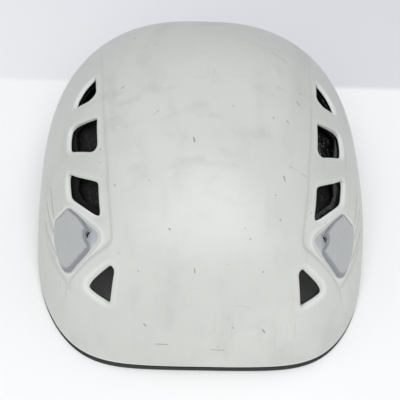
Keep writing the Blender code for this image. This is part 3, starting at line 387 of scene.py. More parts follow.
@dataclass(frozen=True)
class BeadFoam(Finish):
    """Expanded foam: packed beads, each a little darker or lighter."""

    bead: float = 300.0
    patch: tuple[float, float, float] = (0.0, 0.0, 0.0)
    patch_reach: float = 0.026

    def surface(self, graph: Graph) -> Surface:
        """Beads with dark seams between them, and one patch under glossy wrinkled film."""
        place = graph.object_place()
        beads = graph.cells(place, self.bead)
        seams = graph.cells(place, self.bead, "DISTANCE_TO_EDGE").step(0.0, 0.16)
        shade = graph.noise(place, self.bead * 0.6, 0.0)
        light = tuple(1.9 * c for c in self.colour)
        colour = graph.mix(shade.step(0.35, 0.7), self.colour, light)
        colour = graph.mix(1 - seams, colour, tuple(0.45 * c for c in self.colour))
        film = graph.near(place, self.patch).step(self.patch_reach, self.patch_reach * 0.75)
        folds = graph.noise(place, 170.0, 2.0, 0.4)
        creases = graph.noise(graph.stretched(place, (420, 150, 230), (0.5, 0.4, 0.9)), 1.0, 1.0)
        glints = folds.step(0.475, 0.5) * folds.step(0.525, 0.5) * creases.step(0.42, 0.58)
        # painted highlights: light squiggles along the film's folds stand in for its reflections
        colour = graph.mix(glints * film * 0.85, colour, (0.26, 0.27, 0.28))
        rough = beads * 0.15 + (self.roughness - 0.05)
        rough = rough * (1 - film) + film * 0.12
        height = (seams - beads * 0.6) * (1 - film) + (folds * 4.0 + creases * 2.5) * film
        return Surface(colour, rough, height)


@dataclass(frozen=True)
class WrinkledFilm(Finish):
    """Thin glossy sheet with soft dents and wrinkles."""

    def surface(self, graph: Graph) -> Surface:
        """Long soft wrinkles with smudges."""
        place = graph.object_place()
        bent = graph.noise(place, 85.0, 2.0, 0.45)
        wrinkles = graph.noise(graph.stretched(place, (260, 90, 140), (0.2, 0.4, 0.3)), 1.0, 2.0)
        smudge = graph.noise(place, 130.0, 3.0)
        light = tuple(1.8 * c for c in self.colour)
        return Surface(graph.mix(smudge, self.colour, light),
                       smudge.step(0.35, 0.75) * 0.25 + (self.roughness - 0.05),
                       bent * 1.2 + wrinkles * 0.8)


class Weave(Enum):
    """How a textile is made."""

    WEBBING = "webbing"
    MESH = "mesh"


@dataclass(frozen=True)
class Textile(Finish):
    """Woven or knitted cloth; webbing follows the strap's own UV, in metres."""

    weave: Weave = Weave.WEBBING
    pitch: float = 0.0011
    light: Colour = (0.3, 0.3, 0.3)

    def webbing(self, graph: Graph) -> Surface:
        """Chevron ribs along a strap, with plain selvedges."""
        place = graph.node("ShaderNodeUVMap", {"uv_map": "UVMap"})
        along = graph.axis(place, "X") * (math.tau / self.pitch)
        across = graph.axis(place, "Y")
        ribs = across * (math.tau / (1.7 * self.pitch))
        yarn = (along + ribs.math("SINE") * 1.6).math("SINE") * 0.5 + 0.5
        rib = ribs.math("COSINE") * 0.5 + 0.5
        fuzz = graph.noise(graph.object_place(), 1800.0, 3.0)
        worn = graph.noise(graph.object_place(), 70.0, 3.0)
        colour = graph.mix(yarn * rib, self.colour, self.light)
        colour = graph.mix(worn.step(0.5, 0.8) * 0.3, colour, tuple(1.5 * c for c in self.light))
        return Surface(colour, fuzz * 0.2 + (self.roughness - 0.1), yarn * 0.6 + rib * 0.4 + fuzz * 0.2)

    def surface(self, graph: Graph) -> Surface:
        """The chosen weave."""
        if self.weave is Weave.WEBBING:
            return self.webbing(graph)
        place = graph.object_place()
        holes = graph.cells(place, 1.0 / self.pitch).step(0.18, 0.42)
        fuzz = graph.noise(place, 2600.0, 3.0)
        worn = graph.noise(place, 45.0, 3.0)
        colour = graph.mix(holes, tuple(0.3 * c for c in self.colour), self.colour)
        colour = graph.mix(worn.step(0.5, 0.85) * fuzz * 0.5, colour, self.light)
        return Surface(colour, fuzz * 0.1 + (self.roughness - 0.05), holes * 0.8 + fuzz * 0.2)


@dataclass(frozen=True)
class TurnedSteel(Finish):
    """Bright metal with fine lines and dull spots."""

    def surface(self, graph: Graph) -> Surface:
        """Fine lines and tarnish."""
        place = graph.object_place()
        lines = graph.noise(graph.stretched(place, (3000, 160, 160)), 1.0, 2.0)
        dull = graph.noise(place, 260.0, 3.0)
        dark = tuple(0.6 * c for c in self.colour)
        return Surface(graph.mix(dull.step(0.55, 0.8), self.colour, dark),
                       lines * 0.15 + dull * 0.15 + (self.roughness - 0.15), lines)


@dataclass(frozen=True)
class PaperFloor(Finish):
    """The pale sheet that the helmet stands on, which ends behind it."""

    edge: float = 0.1475
    far_tone_lit_left: Colour = (0.86, 0.862, 0.872)
    far_tone_shaded_right: Colour = (0.735, 0.740, 0.765)

    def surface(self, graph: Graph) -> Surface:
        """A faint mottle, a soft tone change where the sheet ends, and beyond it painted light
        fall-off, lighter on the left and darker on the right.
        """
        place = graph.object_place()
        cloud = graph.noise(place, 5.0, 3.0)
        colour = graph.mix(cloud, tuple(0.985 * c for c in self.colour), self.colour)
        past = graph.axis(place, "Y").step(self.edge - 0.004, self.edge + 0.004)
        # painted light fall-off: the far tone is lighter on the left and darker on the right
        tone = graph.mix(graph.axis(place, "X").step(-0.22, 0.12), self.far_tone_lit_left, self.far_tone_shaded_right)
        return Surface(graph.mix(past, colour, tone), self.roughness, None)


# --- Dome -----------------------------------------------------------------------------

@dataclass(frozen=True)
class Dome:
    """The shell's outer skin, and a flat chart of it centred on the crown."""

    half_width: float = 0.1125
    front_reach: float = 0.1436
    rear_reach: float = 0.1410
    crown_height: float = 0.1399
    wall: float = 0.0025
    side_fullness: float = 2.53
    front_fullness: float = 2.13
    rear_fullness: float = 1.65
    rim_squareness: float = 3.17
    crown_squareness: float = 2.63
    corner_swell: float = 0.0035
    corner_angle: float = 0.482
    front_edge_lift: float = 0.0040
    side_edge_lift: float = 0.0015
    chart_reach: float = 0.215

    def fullness(self, angle: np.ndarray) -> np.ndarray:
        """How upright the dome stays at an angle from the front."""
        c = np.cos(angle)
        front, rear = np.maximum(c, 0) ** 2, np.maximum(-c, 0) ** 2
        return (self.front_fullness * front + self.rear_fullness * rear
                + self.side_fullness * (1 - front - rear))

    def radius(self, angle: np.ndarray, height: np.ndarray) -> np.ndarray:
        """Distance of the skin from the middle at an angle and a height."""
        c, s = np.cos(angle), np.sin(angle)
        level = np.clip(height / self.crown_height, 0, 1)
        rim_share = np.exp(-np.maximum(height, 0) / 0.040) * np.where(c > 0, 1.0, 0.3)
        square = (self.crown_squareness - 2
                  + (self.rim_squareness - self.crown_squareness) * rim_share)
        power = 2 + square * (1 - level ** 6)
        reach = np.where(c > 0, self.front_reach, self.rear_reach)
        plan = (np.abs(s / self.half_width) ** power + np.abs(c / reach) ** power) ** (-1 / power)
        narrowing = np.sqrt(np.maximum(1 - level ** self.fullness(angle), 0))
        swell = np.exp(-(((np.abs(angle) - self.corner_angle) / 0.2) ** 2))
        swell = swell * np.exp(-np.maximum(height, 0) / 0.030)
        return (plan + self.corner_swell * swell) * narrowing

    def edge_height(self, angle: np.ndarray) -> np.ndarray:
        """Height of the shell's lower edge."""
        front = np.exp(-((angle / 0.62) ** 4))
        return self.side_edge_lift + (self.front_edge_lift - self.side_edge_lift) * front

    def to_chart(self, points: np.ndarray) -> np.ndarray:
        """Chart places of points on or near the skin."""
        angle = np.arctan2(points[:, 0], -points[:, 1])
        return self.chart_at(angle, points[:, 2])

    def chart_at(self, angle: np.ndarray, height: np.ndarray) -> np.ndarray:
        """Chart places at angles and heights."""
        level = np.clip(height / self.crown_height, 0, 0.9999999)
        t = np.arccos(level ** (self.fullness(angle) / 2)) / (math.pi / 2) * self.chart_reach
        return np.stack((t * np.sin(angle), -t * np.cos(angle)), 1)

    def skin(self, chart: np.ndarray) -> np.ndarray:
        """Points of the skin at chart places."""
        t = np.clip(np.hypot(chart[:, 0], chart[:, 1]) / self.chart_reach, 0, 0.99999)
        angle = np.arctan2(chart[:, 0], -chart[:, 1])
        level = np.cos(t * math.pi / 2) ** (2 / self.fullness(angle))
        height = self.crown_height * level
        radius = self.radius(angle, height)
        return np.stack((radius * np.sin(angle), -radius * np.cos(angle), height), 1)

    def normals(self, chart: np.ndarray) -> np.ndarray:
        """Outward normals at chart places."""
        step = 2e-5
        size = np.hypot(chart[:, 0], chart[:, 1])
        inside = chart * np.minimum(1, (self.chart_reach * 0.9985) / np.maximum(size, 1e-9))[:, None]
        right = self.skin(inside + (step, 0)) - self.skin(inside - (step, 0))
        back = self.skin(inside + (0, step)) - self.skin(inside - (0, step))
        normal = np.cross(right, back)
        return normal / np.linalg.norm(normal, axis=1)[:, None]

    def points(self, chart: np.ndarray, offset: "np.ndarray | float") -> np.ndarray:
        """Points moved out of the skin by an offset along its normal."""
        offset = np.broadcast_to(np.asarray(offset, float), (len(chart),))
        return self.skin(chart) + self.normals(chart) * offset[:, None]


DOME = Dome()


@dataclass(frozen=True)
class Sketch:
    """A plane through the origin that faces the shell from outside; its right side is drawn."""

    azimuth: float
    elevation: float
    flip: Optional[float] = None

    def project(self, outline: np.ndarray) -> np.ndarray:
        """Points of the dome over a drawn outline.

        Args:
            outline: Rows of u and v in millimetres; with flip, u is mirrored about it.

        Returns:
            One point of the skin for each row.
        """
        u, v = outline[:, 0], outline[:, 1]
        if self.flip is not None:
            u = 2 * self.flip - u
        a, e = math.radians(self.azimuth), math.radians(self.elevation)
        normal = np.array((math.sin(a) * math.cos(e), -math.cos(a) * math.cos(e), math.sin(e)))
        right = np.array((math.cos(a), math.sin(a), 0.0))
        up = np.cross(normal, right)
        base = (u[:, None] * right + v[:, None] * up) * MM
        low, high = np.full(len(u), 0.04), np.full(len(u), 0.22)
        for _ in range(40):
            middle = (low + high) / 2
            p = base + middle[:, None] * normal
            angle = np.arctan2(p[:, 0], -p[:, 1])
            outside = (np.hypot(p[:, 0], p[:, 1]) > DOME.radius(angle, p[:, 2]))
            outside |= p[:, 2] > DOME.crown_height
            high = np.where(outside, middle, high)
            low = np.where(outside, low, middle)
        return base + low[:, None] * normal


def rounded(outline: Outline, corner: float, spacing: float) -> np.ndarray:
    """A closed outline with rounded corners and even steps.

    Args:
        outline: Corner points, in millimetres.
        corner: How far from a corner its rounding starts, at most.
        spacing: Length of a step.

    Returns:
        The points, anticlockwise.
    """
    corners = np.array(outline, float)
    following = np.roll(corners, -1, 0)
    if np.sum(corners[:, 0] * following[:, 1] - following[:, 0] * corners[:, 1]) < 0:
        corners = corners[::-1]
    path = []
    for i, here in enumerate(corners):
        to_last = corners[i - 1] - here
        to_next = corners[(i + 1) % len(corners)] - here
        start = here + to_last * min(0.45, corner / np.linalg.norm(to_last))
        end = here + to_next * min(0.45, corner / np.linalg.norm(to_next))
        for t in np.linspace(0, 1, 7):
            path.append((1 - t) ** 2 * start + 2 * t * (1 - t) * here + t * t * end)
    return resampled(np.array(path), spacing, True)


def resampled(path: np.ndarray, spacing: float, closed: bool) -> np.ndarray:
    """The same path with even steps near the given spacing."""
    whole = np.vstack((path, path[:1])) if closed else path
    steps = np.linalg.norm(np.diff(whole, axis=0), axis=1)
    along = np.concatenate(([0], np.cumsum(steps)))
    count = max(int(round(along[-1] / spacing)), 3)
    marks = np.linspace(0, along[-1], count + 1)
    even = np.stack([np.interp(marks, along, whole[:, k]) for k in range(whole.shape[1])], 1)
    return even[:-1] if closed else even


def smooth_path(points: Sequence[Sequence[float]], pieces: int) -> np.ndarray:
    """A curve through the points (Catmull-Rom)."""
    given = np.array(points, float)
    padded = np.vstack((2 * given[0] - given[1], given, 2 * given[-1] - given[-2]))
    path = []
    for a, b, c, d in zip(padded, padded[1:], padded[2:], padded[3:]):
        for t in np.arange(pieces) / pieces:
            path.append(0.5 * (2 * b + (c - a) * t + (2 * a - 5 * b + 4 * c - d) * t * t
                               + (3 * b - a - 3 * c + d) * t ** 3))
    path.append(given[-1])
    return np.array(path)


def ease(x: np.ndarray) -> np.ndarray:
    """A smooth step between 0 and 1."""
    x = np.clip(x, 0, 1)
    return x * x * (3 - 2 * x)


@dataclass
class Trace:
    """A line on the skin, with a weight at each of its points.

    A closed line runs anticlockwise seen from outside, so distances are positive outside.
    """

    line: np.ndarray
    closed: bool
    weight: np.ndarray

    def sides(self) -> np.ndarray:
        """Directions in the skin to the line's right-hand side, at each point."""
        if self.closed:
            along = np.roll(self.line, -1, 0) - np.roll(self.line, 1, 0)
        else:
            along = np.gradient(self.line, axis=0)
        side = np.cross(along, DOME.normals(DOME.to_chart(self.line)))
        return side / np.linalg.norm(side, axis=1)[:, None]

    def ring(self, distance: float) -> np.ndarray:
        """Chart places of a copy of the line, moved to its side."""
        return DOME.to_chart(self.line + self.sides() * distance)

    def measure(self, points: np.ndarray, normals: np.ndarray,
                reach: float) -> tuple[np.ndarray, np.ndarray]:
        """Signed distances to the line, and the line's weight at the nearest place.

        Args:
            points: Points of the skin.
            normals: The skin's normals there.
            reach: Beyond this distance a point is not measured.

        Returns:
            Distances, which are large where not measured, and weights.
        """
        low, high = self.line.min(0) - reach, self.line.max(0) + reach
        close = np.flatnonzero(((points > low) & (points < high)).all(1))
        distance, weight = np.full(len(points), 1.0), np.zeros(len(points))
        if not len(close):
            return distance, weight
        p, n = points[close], normals[close]
        last = len(self.line) if self.closed else len(self.line) - 1
        best, signed, found = np.full(len(p), 1.0), np.full(len(p), 1.0), np.zeros(len(p))
        for i in range(last):
            j = (i + 1) % len(self.line)
            a, along = self.line[i], self.line[j] - self.line[i]
            share = np.clip(((p - a) @ along) / (along @ along), 0, 1)
            gap = p - (a + share[:, None] * along)
            length = np.linalg.norm(gap, axis=1)
            better = length < best
            side = np.sign(np.einsum("ij,ij->i", gap, np.cross(along, n)))
            best = np.where(better, length, best)
            signed = np.where(better, length * side, signed)
            here = self.weight[i] * (1 - share) + self.weight[j] * share
            found = np.where(better, here, found)
        distance[close], weight[close] = signed, found
        return distance, weight


def facing(outline: np.ndarray, direction: tuple[float, float]) -> np.ndarray:
    """How much each point of an anticlockwise outline faces a direction, from 0 to 1."""
    along = np.roll(outline, -1, 0) - np.roll(outline, 1, 0)
    out = np.stack((along[:, 1], -along[:, 0]), 1)
    out /= np.linalg.norm(out, axis=1)[:, None]
    share = np.clip(out @ np.array(direction) * 1.4 + 0.2, 0, 1)
    for _ in range(3):
        share = (np.roll(share, 1) + share * 2 + np.roll(share, -1)) / 4
    return share


# --- Mesh helpers ---------------------------------------------------------------------

def dress(obj: bpy.types.Object, finish: Finish) -> bpy.types.Object:
    """Gives a piece one material."""
    obj.data.materials.clear()
    obj.data.materials.append(finish.material())
    return obj


def piece_from(name: str, verts: np.ndarray, faces: Iterable[Sequence[int]], finish: Finish,
               angle: float = 40.0) -> bpy.types.Object:
    """A smooth-shaded object from points and faces, its normals turned outwards."""
    mesh = bpy.data.meshes.new(name)
    mesh.from_pydata(verts.tolist(), [], [tuple(int(i) for i in f) for f in faces])
    bm = bmesh.new()
    bm.from_mesh(mesh)
    loose = [v for v in bm.verts if not v.link_faces]
    bmesh.ops.delete(bm, geom=loose, context="VERTS")
    bmesh.ops.recalc_face_normals(bm, faces=bm.faces)
    if bm.calc_volume(signed=True) < 0:
        bmesh.ops.reverse_faces(bm, faces=bm.faces)
    bm.to_mesh(mesh)
    bm.free()
    mesh.shade_smooth()
    mesh.set_sharp_from_angle(angle=math.radians(angle))
    obj = bpy.data.objects.new(name, mesh)
    bpy.context.scene.collection.objects.link(obj)
    return dress(obj, finish)


def mark(obj: bpy.types.Object, name: str, values: np.ndarray) -> None:
    """Stores one number for each vertex of a piece, for its material."""
    layer = obj.data.attributes.new(name, "FLOAT", "POINT")
    layer.data.foreach_set("value", np.ascontiguousarray(values, dtype=np.float32))


def vertices(obj: bpy.types.Object) -> np.ndarray:
    """The vertices of a piece as rows."""
    co = np.zeros(len(obj.data.vertices) * 3)
    obj.data.vertices.foreach_get("co", co)
    return co.reshape(-1, 3)


def finished(obj: bpy.types.Object) -> bpy.types.Object:
    """Turns a piece's modifiers into its mesh."""
    depsgraph = bpy.context.evaluated_depsgraph_get()
    depsgraph.update()
    mesh = bpy.data.meshes.new_from_object(obj.evaluated_get(depsgraph))
    obj.modifiers.clear()
    obj.data = mesh
    return obj


def place_piece(obj: bpy.types.Object, body: str, slot: str, *nodes: str) -> bpy.types.Object:
    """Rides a piece on its body and hides the CAD nodes that it stands for."""
    if nodes:
        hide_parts(*nodes)
    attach(obj, body)
    LOG.info("piece %s on %s: %d faces", obj.name, body, len(obj.data.polygons))
    return obj


def in_outline(points: np.ndarray, outline: np.ndarray) -> np.ndarray:
    """Which points lie inside a closed outline."""
    inside = np.zeros(len(points), bool)
    for (x0, y0), (x1, y1) in zip(outline, np.roll(outline, -1, 0)):
        crosses = (y0 > points[:, 1]) != (y1 > points[:, 1])
        at = x0 + (points[:, 1] - y0) * (x1 - x0) / ((y1 - y0) if y1 != y0 else 1e-12)
        inside ^= crosses & (points[:, 0] < at)
    return inside


class Patch:
    """Places on the dome's chart that become a fine triangle mesh between closed loops."""

    def __init__(self, outer: np.ndarray, holes: Sequence[np.ndarray]) -> None:
        """Starts from the outer loop and the loops of the holes."""
        self.outer = outer
        self.holes = list(holes)
        self.places = [outer, *holes]

    def add(self, places: np.ndarray, spacing: float) -> None:
        """Adds places that are at least a spacing away from all earlier ones."""
        earlier = np.vstack(self.places)
        tree = KDTree(len(earlier))
        for i, (x, y) in enumerate(earlier):
            tree.insert((x, y, 0), i)
        tree.balance()
        keep = [p for p in places if tree.find((p[0], p[1], 0))[2] >= spacing]
        if keep:
            self.places.append(np.array(keep))

    def fill(self, spacing: float) -> None:
        """Fills what is left with a grid of equal triangles."""
        low, high = self.outer.min(0), self.outer.max(0)
        rows = []
        for j, y in enumerate(np.arange(low[1], high[1], spacing * math.sqrt(3) / 2)):
            xs = np.arange(low[0] + (j % 2) * spacing / 2, high[0], spacing)
            rows.append(np.stack((xs, np.full(len(xs), y)), 1))
        grid = np.vstack(rows)
        grid = grid[in_outline(grid, self.outer)]
        for hole in self.holes:
            grid = grid[~in_outline(grid, hole)]
        self.add(grid, spacing * 0.72)

    def triangles(self) -> tuple[np.ndarray, np.ndarray]:
        """All places, the loops first and in order, and the triangles between the loops."""
        places = np.vstack(self.places)
        edges, start = [], 0
        for loop in (self.outer, *self.holes):
            count = len(loop)
            edges += [(start + i, start + (i + 1) % count) for i in range(count)]
            start += count
        scaled = [Vector((x * 1000, y * 1000)) for x, y in places]
        verts, _, faces, origins, _, _ = delaunay_2d_cdt(scaled, edges, [], 0, 1e-5, True)
        source = np.array([ids[0] if ids else -1 for ids in origins])
        faces = source[np.array(faces)]
        faces = faces[(faces >= 0).all(1)]
        centres = places[faces].mean(1)
        keep = in_outline(centres, self.outer)
        for hole in self.holes:
            keep &= ~in_outline(centres, hole)
        return places, faces[keep]


def bridge(first: Sequence[int], second: Sequence[int]) -> list[tuple[int, int, int, int]]:
    """Quads between two closed rows of vertices."""
    count = len(first)
    return [(first[i], first[(i + 1) % count], second[(i + 1) % count], second[i])
            for i in range(count)]


def solid_patch(name: str, top: Patch, top_offset: Callable, bottom: Patch,
                bottom_offset: Callable, wall_depths: Sequence[float], finish: Finish,
                mirror: bool = False, angle: float = 40.0) -> bpy.types.Object:
    """A closed layer of the dome between two patches that share their loops.

    Args:
        name: The piece's name.
        top: Patch of the outer face.
        top_offset: Gives the outer face's offsets at chart places.
        bottom: Patch of the inner face, with loops of as many points.
        bottom_offset: Gives the inner face's offsets at chart places.
        wall_depths: Shares of the way down at which the cut walls get extra rows.
        finish: The piece's finish.
        mirror: Whether to make the left-hand copy.
        angle: Edges sharper than this stay sharp, in degrees.

    Returns:
        The piece.
    """
    top_places, top_faces = top.triangles()
    low_places, low_faces = bottom.triangles()
    high = DOME.points(top_places, top_offset(top_places))
    low = DOME.points(low_places, bottom_offset(low_places))
    verts = [high, low]
    faces = [*top_faces.tolist(), *(low_faces[:, ::-1] + len(top_places)).tolist()]
    count, start = len(top_places) + len(low_places), 0
    for loop in (top.outer, *top.holes):
        size = len(loop)
        row = list(range(start, start + size))
        for share in wall_depths:
            verts.append(high[start:start + size] * (1 - share) + low[start:start + size] * share)
            following = list(range(count, count + size))
            faces += bridge(row, following)
            row, count = following, count + size
        faces += bridge(row, [len(top_places) + i for i in range(start, start + size)])
        start += size
    points = np.vstack(verts)
    if mirror:
        points = points * (-1, 1, 1)
    return piece_from(name, points, faces, finish, angle)


# --- Finishes of this helmet ------------------------------------------------------------

CHIN_SIDE_POINT = (0.0840, -0.0880, 0.0230)     # where the chin strap passes the temple


def skin_above(x: float, y: float) -> tuple[float, float, float]:
    """The point of the skin straight above a place on the floor."""
    angle, reach = np.array([math.atan2(x, -y)]), math.hypot(x, y)
    low, high = 0.0, DOME.crown_height
    for _ in range(40):
        middle = (low + high) / 2
        outside = DOME.radius(angle, np.array([middle]))[0] > reach
        low, high = (middle, high) if outside else (low, middle)
    return x, y, low


def nick(x: float, y: float, dx: float, dy: float, width: float, strength: float) -> Stroke:
    """A mark on the crown that starts at a place and runs on by dx and dy, in millimetres."""
    start, end = skin_above(x * MM, y * MM), skin_above((x + dx) * MM, (y + dy) * MM)
    return Stroke(start, end, width * MM, strength)


SHELL_MARKS = (
    nick(-10.0, -62.0, 0.6, -2.6, 0.60, 0.75),
    nick(-24.0, -108.0, 0.4, -0.6, 0.65, 0.80),
    nick(46.0, -78.0, 1.0, -2.4, 0.55, 0.75),
    nick(50.0, -71.0, 11.0, -1.5, 0.30, 0.55),
    nick(40.0, -42.0, 0.8, -0.8, 0.55, 0.60),
    nick(49.0, -41.0, 1.6, -0.9, 0.55, 0.60),
    nick(57.0, -21.0, 1.6, -2.2, 0.60, 0.65),
    nick(43.0, 22.0, 9.0, -6.0, 0.35, 0.55),
    nick(-8.0, -123.5, 0.3, -1.2, 0.55, 0.70),
    nick(-38.0, -137.0, 1.2, -0.6, 0.60, 0.70),
    nick(36.0, -138.0, 1.4, -0.4, 0.60, 0.65),
    nick(-49.0, 44.0, 1.4, -1.2, 0.60, 0.70),
    nick(-56.0, -14.0, 2.2, 1.2, 0.60, 0.60),
    nick(-35.0, -44.0, 3.5, 3.0, 0.35, 0.40),
    nick(-30.0, -141.2, 7.0, -0.4, 0.55, 0.60),
    nick(4.0, -142.4, 9.0, 0.0, 0.45, 0.55),
)
SHELL = WornShell("shell_satin_grey", (0.600, 0.614, 0.572), 0.40, relief=0.00012,
                  relief_strength=0.35, strokes=SHELL_MARKS)
CLIP = BrushedPlate("clip_blue_grey", (0.445, 0.456, 0.452), 0.38, relief=0.00010,
                    relief_strength=0.4)
TRIM = Finish("trim_black_rubber", (0.018, 0.018, 0.019), 0.55, relief=0.00008)
FOAM = BeadFoam("liner_charcoal_foam", (0.0125, 0.0125, 0.0115), 0.80, relief=0.0004,
                relief_strength=0.6, specular=0.3, patch=(0.0770, -0.0340, 0.0970))
FILM = WrinkledFilm("shutter_black_film", (0.0085, 0.0085, 0.0095), 0.20, relief=0.0030,
                    relief_strength=0.55)
# left shutter: a matte copy of the film whose colour is darker, as painted shade for the dark vent
FILM_MATTE_SHADED = WrinkledFilm("shutter_black_film_matte_shaded", (0.0060, 0.0060, 0.0060), 0.75, relief=0.0006,
                         relief_strength=0.5, specular=0.12)
HARNESS = Finish("harness_dark_plastic", (0.018, 0.018, 0.019), 0.50, relief=0.00006)
WHEEL = Finish("wheel_black_plastic", (0.025, 0.025, 0.027), 0.42, relief=0.00006)
BUCKLE = Finish("buckle_black_plastic", (0.020, 0.020, 0.021), 0.38, relief=0.00005)
WEBBING = Textile("webbing_grey_weave", (0.060, 0.064, 0.070), 0.62, relief=0.00025,
                  relief_strength=0.7, sheen=0.15, light=(0.150, 0.158, 0.170))
THREAD = Finish("thread_pale_grey", (0.30, 0.31, 0.32), 0.7, relief=0.00008)
PAD = Textile("pad_black_mesh", (0.030, 0.030, 0.032), 0.9, relief=0.0003, relief_strength=0.6,
              sheen=0.25, weave=Weave.MESH, pitch=0.0014, light=(0.075, 0.075, 0.078))
STEEL = TurnedSteel("pin_bright_steel", (0.62, 0.62, 0.60), 0.28, metallic=1.0, relief=0.00003)
FLOOR = PaperFloor("floor_white_paper", (0.950, 0.948, 0.940), 0.75, specular=0.2)


# --- Shell ----------------------------------------------------------------------------

SIDE_SKETCH = Sketch(80, 42)
CORNER_SKETCH = Sketch(30, 32)
CLIP_SKETCH = Sketch(52, 28)
REAR_CLIP_SKETCH = Sketch(140, 28, flip=-7.5)

CLIP_OUTLINE = ((-5.2, 14.5), (-17.2, 17.3), (-34.5, 18.6), (-39.0, 17.4), (-41.4, 14.4),
                (-41.8, 8.3), (-33.1, -16.7), (-29.0, -21.9), (-23.0, -24.2), (-16.6, -22.0),
                (-3.2, -13.0), (3.2, -2.4), (-1.5, 4.8))
PLATE_OUTLINE = ((-5.4, 14.1), (-16.5, 15.9), (-24.0, 14.9), (-29.9, 13.6), (-28.2, 11.2),
                 (-28.9, 8.9), (-31.4, 6.9), (-35.0, 6.4), (-37.0, 4.0), (-36.0, -1.5),
                 (-30.3, -16.9), (-27.2, -21.6), (-22.9, -23.8), (-16.8, -21.6), (-3.5, -12.8),
                 (2.8, -2.4), (-1.8, 4.7))
HOOK_HOLE = ((-31.6, 12.9), (-29.4, 11.9), (-29.0, 10.0), (-29.9, 8.4), (-31.4, 7.9),
             (-31.1, 9.4), (-30.7, 11.0))


@dataclass(frozen=True)
class Opening:
    """A hole through the shell, with a chamfer on the sides that face one way."""

    name: str
    sketch: Sketch
    outline: Outline
    soft_side: tuple[float, float]
    depth: float
    spread: float
    corner: float = 2.4
    spacing: float = 1.3
    lip: float = 0.00040


OPENINGS = (
    Opening("vent_rear", SIDE_SKETCH,
            ((27.6, 35.6), (9.6, 35.3), (6.9, 33.2), (6.6, 29.5), (13.4, 14.9), (19.2, 16.8),
             (24.3, 23.8)), (0.15, -0.98), 0.0013, 0.0028),
    Opening("vent_middle", SIDE_SKETCH,
            ((-15.2, 33.2), (-5.8, 14.0), (-5.1, 8.6), (-12.4, 6.1), (-20.9, 4.9), (-24.0, 6.8),
             (-38.2, 22.6), (-39.3, 25.6), (-37.4, 28.3)), (0.25, -0.96), 0.0016, 0.0030),
    Opening("vent_front", SIDE_SKETCH,
            ((-38.3, -0.3), (-47.0, 6.3), (-60.0, 18.4), (-62.2, 19.3), (-78.1, 11.4),
             (-79.2, 9.0), (-76.7, 6.6), (-57.2, -4.3), (-53.7, -5.5), (-43.0, -2.6)),
            (-0.30, -0.95), 0.0016, 0.0034),
    Opening("vent_corner", CORNER_SKETCH,
            ((-6.2, -11.3), (-8.9, -12.1), (-10.1, -14.0), (-12.4, -34.4), (-11.3, -35.8),
             (-1.5, -34.5), (4.8, -33.1), (5.5, -31.4), (3.8, -26.6), (-0.9, -19.2)),
            (0.85, -0.45), 0.0018, 0.0044),
    Opening("hook_hole", CLIP_SKETCH, HOOK_HOLE, (0.0, 1.0), 0.0, 0.001, 0.6, 0.5, 0.0),
    Opening("hook_hole_rear", REAR_CLIP_SKETCH, HOOK_HOLE, (0.0, 1.0), 0.0, 0.001, 0.6, 0.5, 0.0),
)

RIDGE = ((69.9, 55.0, 103.0), (69.8, 42.2, 109.3), (69.0, 18.0, 115.6), (67.9, -5.0, 117.6),
         (66.0, -25.0, 117.0), (64.6, -42.0, 114.8), (62.4, -66.0, 108.4), (61.3, -80.0, 101.5),
         (59.7, -92.0, 94.2), (58.2, -105.0, 83.5), (60.6, -109.2, 77.0), (71.8, -109.3, 65.1),
         (79.4, -109.2, 53.8), (83.7, -109.1, 45.5), (86.9, -109.2, 37.3))
RIDGE_STEP = (0.0, 0.35, 0.5, 0.55, 0.55, 0.55, 0.55, 0.60, 0.70, 0.85, 1.0, 1.2, 1.2, 1.1, 0.8)
FLANK = ((86.9, -109.2, 37.3), (91.1, -102.6, 38.1), (96.6, -91.6, 39.3), (101.7, -77.5, 40.5),
         (104.8, -62.5, 44.2), (106.0, -48.0, 50.0))
FLANK_STEP = (0.8, 1.0, 0.9, 0.7, 0.4, 0.0)
GROOVES = (
    ((103.6, -50.9, 56.7), (102.2, -59.3, 55.8), (100.5, -67.2, 55.4), (98.2, -75.1, 55.0),
     (95.5, -83.1, 54.1)),
    ((104.5, -59.6, 47.6), (103.3, -66.6, 46.2), (100.7, -75.8, 46.4), (97.7, -84.1, 46.6),
     (93.9, -92.1, 47.0)),
    ((101.0, -46.1, 66.1), (99.9, -56.3, 64.2), (97.7, -69.1, 61.6)),
)


def side_trace(sketch: Sketch, outline: np.ndarray, weight: np.ndarray) -> Trace:
    """A closed trace of a drawn outline, kept anticlockwise when the sketch mirrors it."""
    line = sketch.project(outline)
    if sketch.flip is not None:
        line, weight = line[::-1], weight[::-1]
    return Trace(line, True, weight)


def open_trace(points: Sequence[Sequence[float]], weights: Sequence[float]) -> Trace:
    """A trace through points of the skin, in millimetres."""
    rows = [(*p, w) for p, w in zip(points, weights)]
    path = resampled(smooth_path(rows, 8), 1.6, False)
    line = path[:, :3] * MM
    return Trace(DOME.skin(DOME.to_chart(line)), False, path[:, 3])


